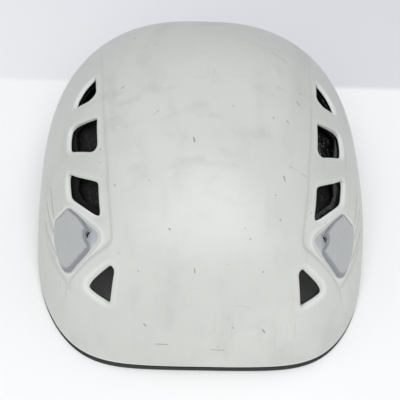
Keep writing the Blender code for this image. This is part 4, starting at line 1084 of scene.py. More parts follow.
@dataclass
class ShellMould:
    """The fine shell: holes, chamfers, ridges, grooves and clip recesses."""

    spacing: float = 0.0026
    recess_depth: float = 0.00185
    recess_wall: float = 0.0032
    ridge_width: float = 0.0026
    rim_points: int = 460
    openings: list[tuple[Opening, Trace]] = field(default_factory=list)
    recesses: list[Trace] = field(default_factory=list)

    def __post_init__(self) -> None:
        """Projects every drawn line onto the right-hand side of the dome."""
        for opening in OPENINGS:
            drawn = rounded(opening.outline, opening.corner, opening.spacing)
            weight = facing(drawn, opening.soft_side)
            self.openings.append((opening, side_trace(opening.sketch, drawn, weight)))
        drawn = rounded(CLIP_OUTLINE, 5.0, 1.2)
        for sketch in (CLIP_SKETCH, REAR_CLIP_SKETCH):
            weight = facing(drawn, (-0.75, 0.66))
            self.recesses.append(side_trace(sketch, drawn, weight))
        self.ridge = open_trace(RIDGE[::-1], RIDGE_STEP[::-1])
        self.flank = open_trace(FLANK[::-1], FLANK_STEP[::-1])
        self.grooves = []
        for points in GROOVES:
            weights = [math.sin(math.pi * (i + 0.35) / (len(points) - 0.3)) ** 0.5
                       for i in range(len(points))]
            self.grooves.append(open_trace(points, weights))

    def rim(self) -> np.ndarray:
        """Chart places of the shell's lower edge."""
        angle = np.linspace(-math.pi, math.pi, self.rim_points, endpoint=False)
        return DOME.chart_at(angle, DOME.edge_height(angle))

    def both(self, chart: np.ndarray) -> list[np.ndarray]:
        """Chart places and their copy on the left-hand side, both anticlockwise."""
        return [chart, (chart * (-1, 1))[::-1]]

    def loops(self) -> list[np.ndarray]:
        """The edges of all holes."""
        return [loop for _, trace in self.openings for loop in self.both(trace.ring(0.0))]

    def outer_patch(self) -> Patch:
        """Places of the outer skin, dense where its shape changes."""
        patch = Patch(self.rim(), self.loops())
        for lift in (0.0004, 0.0010, 0.0020, 0.0034):
            angle = np.linspace(-math.pi, math.pi, self.rim_points, endpoint=False)
            patch.add(DOME.chart_at(angle, DOME.edge_height(angle) + lift), 0.0003)
        for opening, trace in self.openings:
            distances = (0.00035, 0.0008) if opening.depth else (0.0006,)
            if opening.depth:
                distances += tuple(opening.spread * share for share in (0.45, 0.75, 1.05, 1.5))
            for distance in distances:
                for ring in self.both(trace.ring(distance)):
                    patch.add(ring, 0.0003)
        for trace in self.recesses:
            for distance in (0.0010, 0.0004, 0.0, -0.0003, -0.0009, -0.0017, -0.0026, -0.0036):
                for ring in self.both(trace.ring(distance)):
                    patch.add(ring, 0.0003)
        for trace in (self.ridge, self.flank):
            for share in (-0.5, 0.0, 0.35, 0.7, 1.05, 1.5):
                for ring in self.both(trace.ring(share * self.ridge_width)):
                    patch.add(ring, 0.0006)
        for trace in self.grooves:
            for distance in (-0.0010, -0.0005, 0.0, 0.0005, 0.0010, 0.0018):
                for ring in self.both(trace.ring(distance)):
                    patch.add(ring, 0.0003)
        patch.fill(self.spacing)
        return patch

    def offsets(self, chart: np.ndarray) -> np.ndarray:
        """How far each place of the outer face stands off the dome.

        Args:
            chart: Chart places on either side.

        Returns:
            Offsets along the normal; negative is inwards.
        """
        folded = np.stack((np.abs(chart[:, 0]), chart[:, 1]), 1)
        points, normals = DOME.skin(folded), DOME.normals(folded)
        depth = np.zeros(len(chart))
        for trace, spread in ((self.ridge, 0.016), (self.flank, 0.010)):
            distance, weight = trace.measure(points, normals, 0.05)
            inwards = np.where(distance < 0.9, distance, 0)
            fall = ease(inwards / self.ridge_width)
            fade = np.exp(-np.maximum(inwards - self.ridge_width, 0) / spread)
            depth = np.maximum(depth, fall * fade * weight * 1.4 * MM)
        for trace in self.grooves:
            distance, weight = trace.measure(points, normals, 0.006)
            line = np.exp(-(distance / 0.0007) ** 2) * 0.00090
            step = np.where(distance > 0, np.exp(-np.abs(distance) / 0.0018), 0) * 0.00050
            depth += (line + step) * weight
        for trace in self.recesses:
            distance, weight = trace.measure(points, normals, 0.004)
            inside = in_outline(folded, trace.ring(0.0))
            inwards = np.where(inside, np.where(distance < 0.9, -distance, 1.0), -distance)
            width = 0.0003 + self.recess_wall * weight
            recess = ease((inwards + 0.0003 * weight) / width) * self.recess_depth
            depth = np.maximum(depth, recess)
        for opening, trace in self.openings:
            distance, weight = trace.measure(points, normals, 0.008)
            outwards = np.where(distance > 0, distance, 0)
            lip = opening.lip * np.clip(1 - outwards / 0.0007, 0, 1) ** 2
            chamfer = opening.depth * weight * (1 - ease(outwards / opening.spread))
            near = np.abs(distance) < 0.9
            depth += np.where(near, lip + chamfer, 0)
        angle, height = np.arctan2(folded[:, 0], -folded[:, 1]), points[:, 2]
        above = height - DOME.edge_height(angle)
        depth += 0.0005 * np.clip(1 - above / 0.0012, 0, 1) ** 2
        return -np.minimum(depth, DOME.wall - 0.0004)

    def painted_light_and_grime(self, verts: np.ndarray) -> tuple[np.ndarray, np.ndarray, np.ndarray]:
        """Where painted shade with some grime darkens grooves, ridges, recess edges and holes, where
        the sunk floor beside a plate takes its tint with painted shade, and where edges take painted
        highlights.

        Args:
            verts: Vertices of the shell.

        Returns:
            For each vertex the share of painted shade with grime, of the floor's tint with painted
            shade and of painted highlight.
        """
        chart = DOME.to_chart(verts)
        folded = np.stack((np.abs(chart[:, 0]), chart[:, 1]), 1)
        points, normals = DOME.skin(folded), DOME.normals(folded)
        grime, floor, rubbed = (np.zeros(len(verts)) for _ in range(3))
        # painted shade along each groove, and a painted highlight just beside it
        for trace in self.grooves:
            distance, weight = trace.measure(points, normals, 0.004)
            grime = np.maximum(grime, 0.85 * weight * np.exp(-(distance / 0.00050) ** 2))
            beside = np.exp(-((distance - 0.0013) / 0.0006) ** 2)
            rubbed = np.maximum(rubbed, 0.6 * weight * beside)
        # painted shadow lines beside the ridge and flank steps
        for trace, strength in ((self.ridge, 0.16), (self.flank, 0.20)):
            distance, weight = trace.measure(points, normals, 0.004)
            line = np.exp(-((distance - 0.0016) / 0.0010) ** 2)
            grime = np.maximum(grime, strength * np.minimum(weight, 1) * line)
        # in each clip recess: the sunk floor's darker tint with painted shade, a painted shade line
        # inside its edge, and a painted highlight just outside it
        for trace in self.recesses:
            distance, weight = trace.measure(points, normals, 0.014)
            inside = in_outline(folded, trace.ring(0.0))
            inwards = np.where(inside, np.abs(distance), -np.abs(distance))
            floor = np.maximum(floor, 0.85 * ease((inwards - 0.0022) / 0.0012))
            line = np.exp(-((inwards - 0.0005) / 0.00042) ** 2)
            grime = np.maximum(grime, line * (0.25 + 0.30 * (1 - weight)))
            rubbed = np.maximum(rubbed, 0.6 * np.exp(-((inwards + 0.0010) / 0.0007) ** 2))
        # painted shade round each hole, widest and darkest round the hook holes, and a painted
        # highlight along the vents' chamfers
        for opening, trace in self.openings:
            distance, weight = trace.measure(points, normals, 0.004)
            reach = 0.0012 if not opening.depth else 0.0003
            strength = 0.85 if not opening.depth else 0.10
            grime = np.maximum(grime, strength * np.exp(-(distance / reach) ** 2))
            edge = np.exp(-((distance - opening.spread * 0.6) / 0.0009) ** 2)
            rubbed = np.maximum(rubbed, (0.25 + 0.55 * weight) * edge * (opening.depth > 0))
        # a painted highlight line along the front of the shell's lower edge
        low = points[:, 2] - DOME.edge_height(np.arctan2(folded[:, 0], -folded[:, 1]))
        front = ease((-points[:, 1] - 0.100) / 0.03)
        rubbed = np.maximum(rubbed, 0.7 * front * np.exp(-((low - 0.0008) / 0.0005) ** 2))
        beside = verts * np.where(verts[:, :1] < 0, (-1, 1, 1), (1, 1, 1))
        offset = np.einsum("ij,ij->i", beside - points, normals)
        outside = offset > 0.0001 - DOME.wall
        return grime * outside, floor * outside, rubbed * outside

    def build(self) -> bpy.types.Object:
        """The shell as one closed mesh."""
        inner = Patch(self.rim(), self.loops())
        inner.fill(0.0058)
        outer = self.outer_patch()
        shell = solid_patch("shell_fine", outer, self.offsets, inner,
                            lambda chart: np.full(len(chart), -DOME.wall), (0.2, 0.8), SHELL,
                            angle=52.0)
        # vertex values of painted light on the shell: painted shade with grime, painted highlight, and
        # the recess floors' tint with painted shade
        grime, floor, rubbed = self.painted_light_and_grime(vertices(shell))
        mark(shell, "rubbed", rubbed)
        mark(shell, "grime", grime)
        mark(shell, "pond", floor)
        return shell


@dataclass
class ClipPlates:
    """Headlamp clip plates: four thin plates with a hooked edge, set in the shell."""

    thickness: float = 0.0013
    face_depth: float = 0.00025
    tilt: float = 0.0008
    spacing: float = 0.0016

    def build(self, name: str, sketch: Sketch, mirror: bool) -> bpy.types.Object:
        """One plate.

        Args:
            name: The piece's name.
            sketch: The plane in which it is drawn.
            mirror: Whether it is the left-hand one.

        Returns:
            The piece.
        """
        drawn = rounded(PLATE_OUTLINE, 3.2, 0.9)
        hooked = facing(drawn, (-0.95, -0.10))
        trace = side_trace(sketch, drawn, hooked)
        loop = trace.ring(0.0)
        top, bottom = Patch(loop, []), Patch(loop, [])
        for distance in (-0.0003, -0.0007, -0.0013, -0.0022):
            top.add(trace.ring(distance), 0.0003)
        top.fill(self.spacing)
        bottom.fill(0.004)

        def tilted(chart: np.ndarray) -> np.ndarray:
            """Depth of the plate's face, which dips towards the hook."""
            points = DOME.skin(chart)
            return self.face_depth + self.tilt * ease(self.across(sketch, points))

        def face(chart: np.ndarray) -> np.ndarray:
            """Offsets of the face, with a rounded edge and a raised rim along the hook."""
            points, normals = DOME.skin(chart), DOME.normals(chart)
            distance, weight = trace.measure(points, normals, 0.004)
            inwards = np.clip(-distance, 0, 1)
            edge = 0.00035 * np.clip(1 - inwards / 0.0007, 0, 1) ** 2
            rim = 0.00028 * weight * np.exp(-((inwards - 0.0011) / 0.0008) ** 2)
            return -(tilted(chart) + edge - rim)

        def back(chart: np.ndarray) -> np.ndarray:
            """Offsets of the plate's back."""
            return np.full(len(chart), -(0.0002 + self.thickness))

        plate = solid_patch(name, top, face, bottom, back, (0.3, 0.8), CLIP, mirror, 50.0)
        verts = vertices(plate)
        chart = DOME.to_chart(verts * ((-1, 1, 1) if mirror else (1, 1, 1)))
        # a band of painted shade inside the edges that face the hook, stored as the plate's rim value
        edge = Trace(trace.line, True, self.shade_band_weights(drawn, sketch))
        distance, weight = edge.measure(DOME.skin(chart), DOME.normals(chart), 0.006)
        shade_band = 1 - ease((np.abs(distance) - 0.0012) / 0.0014)
        mark(plate, "rim", np.clip(shade_band * weight * 1.7, 0, 0.85))
        return plate

    @staticmethod
    def shade_band_weights(drawn: np.ndarray, sketch: Sketch) -> np.ndarray:
        """How strongly the band of painted shade along the plate's edge shows at each point of its
        outline.
        """
        weight = np.maximum(facing(drawn, (-0.75, 0.66)), facing(drawn, (-0.95, -0.31)))
        return weight[::-1] if sketch.flip is not None else weight

    @staticmethod
    def across(sketch: Sketch, points: np.ndarray) -> np.ndarray:
        """How far points are towards the hooked side of a plate, from 0 to 1."""
        a = math.radians(sketch.azimuth)
        u = points @ np.array((math.cos(a), math.sin(a), 0.0)) / MM
        if sketch.flip is not None:
            u = 2 * sketch.flip - u
        return np.clip((-u - 6.0) / 26.0, 0, 1)


@dataclass
class RimTrim:
    """Rubber edging: a rounded lip under the shell's edge and a leg inside it."""

    steps: int = 300
    leg: float = 0.0016
    play: float = 0.0010
    leg_height: float = 0.0095
    gap: float = 0.0009
    skin_gap: float = 0.0004

    def section(self, edge: float) -> list[tuple[float, float]]:
        """Corner points of the section as (offset from the skin, height).

        Args:
            edge: Height of the lip's upper face.

        Returns:
            The section, with rounded corners.
        """
        outer, inner = -self.skin_gap, -(DOME.wall + self.play)
        far, r = inner - self.leg, min(0.0006, edge * 0.4)
        return [(outer - r, 0.0), (outer - 0.3 * r, 0.3 * r), (outer, r), (outer, edge - 0.5 * r),
                (outer - 0.3 * r, edge), (inner - 0.0002, edge), (inner, edge + 0.0003),
                (inner, self.leg_height - r), (inner - r, self.leg_height),
                (far + r, self.leg_height), (far, self.leg_height - r), (far, r),
                (far + 0.3 * r, 0.3 * r), (far + r, 0.0)]

    def build(self) -> bpy.types.Object:
        """The trim as one closed ring."""
        angles = np.linspace(-math.pi, math.pi, self.steps, endpoint=False)
        columns = []
        for angle in angles:
            edge = float(DOME.edge_height(angle)) - self.gap
            columns.append(self.section(max(edge, 0.0005)))
        offsets = np.array(columns)
        count = offsets.shape[1]
        rows = []
        for k in range(count):
            height = np.maximum(offsets[:, k, 1], 0.0)
            chart = DOME.chart_at(angles, np.maximum(height, 0.0002))
            points = DOME.points(chart, offsets[:, k, 0])
            points[:, 2] = height
            rows.append(points)
        verts = np.stack(rows, 1).reshape(-1, 3)
        faces = []
        for i in range(self.steps):
            j = (i + 1) % self.steps
            for k in range(count):
                m = (k + 1) % count
                faces.append((i * count + k, j * count + k, j * count + m, i * count + m))
        return piece_from("rim_trim_fine", verts, faces, TRIM, 35.0)


# --- Liner, shutters and pads -----------------------------------------------------------

def merged_copy(name: str, node: str) -> bpy.types.Object:
    """A new object with a CAD node's mesh, its loose triangles merged into whole faces."""
    mesh = frame["nodes"][node].data.copy()
    mesh.name = name
    mesh.materials.clear()
    bm = bmesh.new()
    bm.from_mesh(mesh)
    bmesh.ops.remove_doubles(bm, verts=bm.verts, dist=2e-6)
    bmesh.ops.dissolve_limit(bm, angle_limit=math.radians(0.4), verts=bm.verts, edges=bm.edges)
    for face in bm.faces:
        face.smooth = True
    bm.to_mesh(mesh)
    bm.free()
    obj = bpy.data.objects.new(name, mesh)
    bpy.context.scene.collection.objects.link(obj)
    return obj


def refined(name: str, node: str, finish: Finish, edge: float = 0.00035,
            angle: float = 32.0) -> bpy.types.Object:
    """A CAD node's shape with rounded edges and smooth shading.

    Args:
        name: The new piece's name.
        node: The CAD node.
        finish: The piece's finish.
        edge: Width of the rounding.
        angle: Edges sharper than this are rounded, in degrees.

    Returns:
        The piece.
    """
    obj = merged_copy(name, node)
    bevel = obj.modifiers.new("edges", "BEVEL")
    bevel.width, bevel.segments = edge, 2
    bevel.limit_method, bevel.angle_limit = "ANGLE", math.radians(angle)
    finished(obj)
    obj.data.shade_smooth()
    obj.data.set_sharp_from_angle(angle=math.radians(angle + 8))
    return dress(obj, finish)


@dataclass
class Liner:
    """Foam crown liner with a sunk channel over each shutter."""

    edge: float = 0.0700
    thickness: float = 0.0140
    gap: float = 0.0004
    axis_y: float = -0.0060
    axis_z: float = -0.0300
    front_deg: float = -40.3
    rear_deg: float = 21.6
    play: float = 0.0013
    room: float = 0.0040
    points: int = 360

    def channel_floor(self) -> tuple[np.ndarray, np.ndarray]:
        """Places across the helmet and the radius of the shutter's lower face there."""
        mesh = frame["nodes"]["shutter_right"].data
        co = np.array([v.co for v in mesh.vertices])
        reach = np.hypot(co[:, 1] - self.axis_y, co[:, 2] - self.axis_z)
        xs = np.linspace(co[:, 0].min(), co[:, 0].max(), 6)
        floors = [reach[np.abs(co[:, 0] - x) < 2e-5].min() for x in xs]
        return xs, np.array(floors)

    def loop(self, offset: float) -> np.ndarray:
        """Chart places where a layer at an offset is cut level at the liner's edge."""
        angle = np.linspace(-math.pi, math.pi, self.points, endpoint=False)
        height = np.full(self.points, self.edge)
        for _ in range(12):
            chart = DOME.chart_at(angle, height)
            point = DOME.points(chart, offset)
            height = height + (self.edge - point[:, 2])
        return DOME.chart_at(angle, height)

    def build(self) -> bpy.types.Object:
        """The liner as one closed mesh."""
        top_offset = -(DOME.wall + self.gap)
        low_offset = top_offset - self.thickness
        top, bottom = Patch(self.loop(top_offset), []), Patch(self.loop(low_offset), [])
        top.fill(0.0026)
        bottom.fill(0.0040)
        xs, floors = self.channel_floor()

        def outer(chart: np.ndarray) -> np.ndarray:
            """Offsets of the outer face, sunk where a shutter runs."""
            normals = DOME.normals(chart)
            p = DOME.points(chart, top_offset)
            y, z = p[:, 1] - self.axis_y, p[:, 2] - self.axis_z
            reach, turn = np.hypot(y, z), np.degrees(np.arctan2(y, z))
            x = np.abs(p[:, 0])
            mask = ease((x - (xs[0] - self.room)) / 0.0012 + 1)
            mask *= ease(((xs[-1] + self.room) - x) / 0.0012 + 1)
            mask *= ease((turn - self.front_deg) / 0.5 + 1) * ease((self.rear_deg - turn) / 0.5 + 1)
            floor = np.interp(x, xs, floors) - self.play
            slant = (normals[:, 1] * y + normals[:, 2] * z) / reach
            sunk = np.maximum(reach - floor, 0) / np.maximum(slant, 0.5)
            return top_offset - mask * np.minimum(sunk, self.thickness - 0.003)

        def inner(chart: np.ndarray) -> np.ndarray:
            """Offsets of the inner face, with shallow air grooves front to back."""
            p = DOME.points(chart, low_offset)
            groove = np.exp(-((np.abs(p[:, 0]) - 0.040) / 0.0035) ** 4)
            groove *= ease((p[:, 2] - self.edge - 0.004) / 0.006)
            return low_offset + 0.0022 * groove

        return solid_patch("crown_liner_fine", top, outer, bottom, inner, (0.06, 0.94), FOAM)


def puffed(name: str, node: str, finish: Finish, voxel: float = 0.0020, cap: float = 0.0011,
           shrink: float = 0.0007) -> bpy.types.Object:
    """A pad blown up from its CAD solid by a short cloth simulation.

    Args:
        name: The new piece's name.
        node: The CAD node that gives its size and place.
        finish: The pad's cloth.
        voxel: Size of the remesh.
        cap: How far a point may move.
        shrink: How much smaller the pad starts.

    Returns:
        The pad.
    """
    obj = merged_copy(name, node)
    remesh = obj.modifiers.new("remesh", "REMESH")
    remesh.mode, remesh.voxel_size = "VOXEL", voxel
    finished(obj)
    mesh = obj.data
    count = len(mesh.vertices)
    rest, normals = np.zeros(count * 3), np.zeros(count * 3)
    mesh.vertices.foreach_get("co", rest)
    mesh.vertices.foreach_get("normal", normals)
    rest = rest.reshape(-1, 3) - normals.reshape(-1, 3) * shrink
    mesh.vertices.foreach_set("co", rest.ravel())
    mesh.update()
    cloth = obj.modifiers.new("cloth", "CLOTH")
    cloth.settings.use_pressure = True
    cloth.settings.uniform_pressure_force = 4.0
    cloth.settings.effector_weights.gravity = 0.0
    cloth.point_cache.frame_start, cloth.point_cache.frame_end = 1, 20
    for number in range(1, 21):
        bpy.context.scene.frame_set(number)
    finished(obj)
    bpy.context.scene.frame_set(1)
    moved = np.zeros(count * 3)
    obj.data.vertices.foreach_get("co", moved)
    shift = moved.reshape(-1, 3) - rest
    length = np.linalg.norm(shift, axis=1)
    shift *= np.minimum(1, cap / np.maximum(length, 1e-9))[:, None]
    obj.data.vertices.foreach_set("co", (rest + shift).ravel())
    finer = obj.modifiers.new("finer", "SUBSURF")
    finer.levels = finer.render_levels = 1
    finished(obj)
    obj.data.shade_smooth()
    dress(obj, finish)
    return obj


# --- Repeated details by geometry nodes ---------------------------------------------------

class RuleTree:
    """A geometry-node group with named inputs, made once and used by a modifier."""

    def __init__(self, name: str, inputs: dict[str, tuple[str, object]]) -> None:
        """Starts the group: its geometry goes in and out, with further named inputs.

        Args:
            name: The group's name.
            inputs: For each input its socket type and value.
        """
        self.group = bpy.data.node_groups.new(name, "GeometryNodeTree")
        face = self.group.interface
        face.new_socket("Geometry", in_out="INPUT", socket_type="NodeSocketGeometry")
        face.new_socket("Geometry", in_out="OUTPUT", socket_type="NodeSocketGeometry")
        self.identifiers, self.values = {}, {}
        for label, (kind, value) in inputs.items():
            socket = face.new_socket(label, in_out="INPUT", socket_type=kind)
            self.identifiers[label] = socket.identifier
            self.values[label] = value
        self.graph = Graph(self.group)
        self.source = self.graph.tree.nodes.new("NodeGroupInput")

    def input(self, label: str) -> Link:
        """The link of a named input."""
        return Link(self.graph, self.source.outputs[label])

    def close(self, geometry: Link) -> None:
        """Ends the group: instances become real and take the material."""
        real = self.graph.node("GeometryNodeRealizeInstances", None, {"Geometry": geometry})
        dressed = self.graph.node("GeometryNodeSetMaterial", None,
                                  {"Geometry": real, "Material": self.input("Material")})
        self.graph.node("NodeGroupOutput", None, {"Geometry": dressed})

    def make(self, name: str, source: bpy.types.Mesh, finish: Finish,
             **sizes: float) -> bpy.types.Object:
        """Runs the group over a mesh and keeps the result as a plain mesh.

        Args:
            name: The new piece's name.
            source: The mesh that goes in.
            finish: The piece's finish.
            sizes: Values for the named inputs, with _ for a space.

        Returns:
            The piece.
        """
        obj = bpy.data.objects.new(name, source)
        modifier = obj.modifiers.new("rule", "NODES")
        modifier.node_group = self.group
        given = {label.replace("_", " "): value for label, value in sizes.items()}
        for label, value in {**self.values, **given, "Material": finish.material()}.items():
            modifier[self.identifiers[label]] = value
        bpy.context.scene.collection.objects.link(obj)
        finished(obj)
        obj.data.shade_smooth()
        obj.data.set_sharp_from_angle(angle=math.radians(50))
        return obj


def line_mesh(name: str, *lines: np.ndarray) -> bpy.types.Mesh:
    """A mesh of plain edges along one or more lines."""
    verts, edges = [], []
    for line in lines:
        start = len(verts)
        verts += [tuple(p) for p in line]
        edges += [(start + i, start + i + 1) for i in range(len(line) - 1)]
    mesh = bpy.data.meshes.new(name)
    mesh.from_pydata(verts, edges, [])
    return mesh


def stitch_tree() -> RuleTree:
    """Stitches of thread at an even pitch along lines."""
    rule = RuleTree("stitches_along_lines", {
        "Pitch": ("NodeSocketFloat", 0.0026), "Stitch Length": ("NodeSocketFloat", 0.0019),
        "Thread Radius": ("NodeSocketFloat", 0.00022), "Material": ("NodeSocketMaterial", None)})
    graph = rule.graph
    curve = graph.node("GeometryNodeMeshToCurve", None, {"Mesh": rule.input("Geometry")})
    spaced = graph.node("GeometryNodeResampleCurve", {"mode": "LENGTH"},
                        {"Curve": curve, "Length": rule.input("Pitch")})
    tangent = graph.node("GeometryNodeInputTangent")
    turn = graph.node("FunctionNodeAlignRotationToVector", {"axis": "Z"}, {"Vector": tangent})
    thread = graph.node("GeometryNodeMeshUVSphere", None,
                        {"Segments": 8, "Rings": 5, "Radius": 0.5})
    thin = rule.input("Thread Radius") * 2.0
    size = graph.node("ShaderNodeCombineXYZ", None,
                      {"X": thin, "Y": thin, "Z": rule.input("Stitch Length")})
    laid = graph.node("GeometryNodeInstanceOnPoints", None,
                      {"Points": spaced, "Instance": thread, "Rotation": turn, "Scale": size})
    rule.close(laid)
    return rule


def grip_tree() -> RuleTree:
    """Rounded ribs round a wheel whose axle runs along X; the source gives its middle."""
    rule = RuleTree("ribs_round_wheel", {
        "Count": ("NodeSocketInt", 36), "Radius": ("NodeSocketFloat", 0.0143),
        "Rib Radius": ("NodeSocketFloat", 0.00065), "Rib Length": ("NodeSocketFloat", 0.0054),
        "Material": ("NodeSocketMaterial", None)})
    graph = rule.graph
    number = graph.node("GeometryNodeInputIndex")
    turn = number * math.tau / rule.input("Count")
    ring = graph.node("GeometryNodePoints", None, {"Count": rule.input("Count")})
    place = graph.node("ShaderNodeCombineXYZ", None, {
        "X": 0.0, "Y": turn.math("COSINE") * rule.input("Radius"),
        "Z": turn.math("SINE") * rule.input("Radius")})
    ring = graph.node("GeometryNodeSetPosition", None, {"Geometry": ring, "Position": place})
    rib = graph.node("GeometryNodeMeshCylinder", None, {
        "Vertices": 8, "Radius": rule.input("Rib Radius"), "Depth": rule.input("Rib Length")})
    along = graph.node("FunctionNodeAlignRotationToVector", {"axis": "Z"},
                       {"Vector": (1.0, 0.0, 0.0)})
    laid = graph.node("GeometryNodeInstanceOnPoints", None,
                      {"Points": ring, "Instance": rib, "Rotation": along})
    rule.close(graph.node("GeometryNodeInstanceOnPoints", None,
                          {"Points": rule.input("Geometry"), "Instance": laid}))
    return rule


# --- Chin harness -------------------------------------------------------------------------

@dataclass
class ChinHarness:
    """Webbing of the chin strap, on the routes of the CAD model."""

    width: float = 0.0150
    thickness: float = 0.0018
    strap_z: float = 0.0180
    front_z: float = 0.0270
    gap: float = 0.0004
    divider_x: float = 0.0900
    divider_y: float = -0.0120
    divider_length: float = 0.0240
    anchor_depth: float = 0.0070
    anchor_length: float = 0.0220
    bar_radius: float = 0.0015
    buckle_length: float = 0.0243
    buckle_inset: float = 0.0226
    anchors: dict[str, float] = field(default_factory=lambda: {"front": 58.0, "rear": 122.0})

    def anchor(self, angle: float) -> tuple[np.ndarray, np.ndarray]:
        """Middle of a strap anchor and the way out of the helmet there."""
        a = np.array([math.radians(angle)])
        reach = float(DOME.radius(a, np.array([self.strap_z + 0.012]))[0])
        reach -= DOME.wall + 0.0030 + self.anchor_depth / 2
        out = DOME.normals(DOME.chart_at(a, np.array([self.strap_z])))[0] * (1, 1, 0)
        place = np.array((reach * math.sin(a[0]), -reach * math.cos(a[0]), self.strap_z))
        return place, out / np.linalg.norm(out)

    def leg(self, where: str) -> np.ndarray:
        """Route of a strap leg, from its wrap round the anchor's bar to the divider."""
        place, out = self.anchor(self.anchors[where])
        sign = -1 if where == "front" else 1
        along = np.array((-out[1], out[0], 0)) * -sign
        around = self.bar_radius + self.gap + self.thickness / 2
        wrap = [place + (out * math.cos(t) - along * math.sin(t)) * around
                for t in np.radians((-20, 25, 70, 115, 150))]
        start = place - out * around
        face = self.anchor_depth / 2 + self.gap + self.thickness / 2
        clear = place + along * self.anchor_length * 0.34 - out * (face + 0.0006)
        past = place + along * (self.anchor_length / 2 + 0.006) - out * (face + 0.0022)
        half = self.divider_length / 2 + self.gap
        shift = 0.0013 if where == "front" else 0.0
        last = np.array((self.divider_x + shift, self.divider_y + sign * half, self.strap_z))
        near = last + (0.0008, sign * 0.008, 0)
        main = smooth_path([start, clear, past, near, last], 10)
        return np.vstack((smooth_path([*wrap, start], 3)[:-1], main))

    def chin(self) -> np.ndarray:
        """Route of the chin strap, from the divider round to the buckle."""
        half = self.divider_length / 2 + self.gap
        end = np.array((self.buckle_length + self.gap, -(DOME.front_reach - self.buckle_inset),
                        self.front_z))
        first = np.array((self.divider_x - 0.0013, self.divider_y - half, self.strap_z))
        turn = np.array([DOME.corner_angle + 0.06])
        corner = DOME.points(DOME.chart_at(turn, np.array([self.front_z])), -0.0175)[0]
        side = CHIN_SIDE_POINT
        return smooth_path([first, first + (0.0006, -0.030, 0.0005), side,
                            (corner[0], corner[1], self.front_z), end + (0.021, 0.0004, 0),
                            end + (0.010, 0, 0), end], 14)

    def webbing(self, name: str, route: np.ndarray, mirror: bool) -> bpy.types.Object:
        """A strap on edge along a route, with rounded selvedges and a UV in metres.

        Args:
            name: The piece's name.
            route: Middle line of the right-hand strap.
            mirror: Whether to make the left-hand copy.

        Returns:
            The strap.
        """
        w, t = self.width / 2, self.thickness / 2
        section = [(-t, -w * 0.90), (-t * 0.86, -w * 0.975), (-t * 0.4, -w), (t * 0.4, -w),
                   (t * 0.86, -w * 0.975), (t, -w * 0.90), (t, -w * 0.3), (t, w * 0.3),
                   (t, w * 0.90), (t * 0.86, w * 0.975), (t * 0.4, w), (-t * 0.4, w),
                   (-t * 0.86, w * 0.975), (-t, w * 0.90), (-t, w * 0.3), (-t, -w * 0.3)]
        path = resampled(route, 0.0022, False)
        tangent = np.gradient(path, axis=0)
        side = np.stack((-tangent[:, 1], tangent[:, 0], np.zeros(len(path))), 1)
        side /= np.linalg.norm(side, axis=1)[:, None]
        steps = np.linalg.norm(np.diff(path, axis=0), axis=1)
        along = np.concatenate(([0.0], np.cumsum(steps)))
        verts, marks = [], []
        for p, n, u in zip(path, side, along):
            for a, b in section:
                verts.append(p + n * a + np.array((0, 0, b)))
                marks.append((u, b))
        size, last = len(section), len(path) - 1
        faces = [(i * size + k, (i + 1) * size + k, (i + 1) * size + (k + 1) % size,
                  i * size + (k + 1) % size) for i in range(last) for k in range(size)]
        faces += [tuple(range(size))[::-1], tuple(last * size + k for k in range(size))]
        points = np.array(verts) * ((-1, 1, 1) if mirror else (1, 1, 1))
        obj = piece_from(name, points, faces, WEBBING, 60.0)
        layer = obj.data.uv_layers.new(name="UVMap")
        for loop in obj.data.loops:
            layer.data[loop.index].uv = marks[loop.vertex_index]
        return obj

    def tacks(self, name: str, route: np.ndarray, starts: Sequence[float], mirror: bool,
              rule: RuleTree) -> bpy.types.Object:
        """Bar tacks: zigzag stitching across the strap, on both of its faces.

        Args:
            name: The piece's name.
            route: Middle line of the right-hand strap.
            starts: How far along the route each tack lies; from the end where negative.
            mirror: Whether to make the left-hand copy.
            rule: The stitch group.

        Returns:
            The stitches as one piece.
        """
        steps = np.linalg.norm(np.diff(route, axis=0), axis=1)
        along = np.concatenate(([0.0], np.cumsum(steps)))
        lines = []
        for start in starts:
            begin = start if start >= 0 else along[-1] + start
            for face in (-1, 1):
                line = []
                for i in range(25):
                    at = begin + 0.004 * i / 24
                    p = np.array([np.interp(at, along, route[:, k]) for k in range(3)])
                    q = np.array([np.interp(at + 0.001, along, route[:, k]) for k in range(3)])
                    side = np.array((p[1] - q[1], q[0] - p[0], 0.0))
                    side /= max(np.linalg.norm(side), 1e-9)
                    lift = self.width * (0.40 if i % 2 else -0.40)
                    line.append(p + side * face * (self.thickness / 2 + 0.00006) + (0, 0, lift))
                lines.append(np.array(line) * ((-1, 1, 1) if mirror else (1, 1, 1)))
        return rule.make(name, line_mesh(name, *lines), THREAD, Pitch=0.0022,
                         Stitch_Length=0.0021, Thread_Radius=0.00020)

    def build(self, rule: RuleTree) -> None:
        """All straps and their stitching."""
        for side, sign in SIDES:
            for where in self.anchors:
                route = self.leg(where)
                strap = self.webbing(f"webbing_{where}_{side}", route, sign < 0)
                place_piece(strap, "helmet", "webbing", f"strap_{where}_{side}")
                tacks = self.tacks(f"tacks_{where}_{side}", route, (0.024, -0.007), sign < 0, rule)
                place_piece(tacks, "helmet", "webbing")
            route = self.chin()
            strap = self.webbing(f"webbing_chin_{side}", route, sign < 0)
            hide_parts(f"chin_strap_{side}")
            tacks = self.tacks(f"tacks_chin_{side}", route, (0.003,), sign < 0, rule)
            place_piece(tacks, "helmet", "webbing")
            if sign > 0:
                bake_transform(strap)
            else:
                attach(strap, "helmet")


# --- Headband, yoke, wheels and small hardware ---------------------------------------------

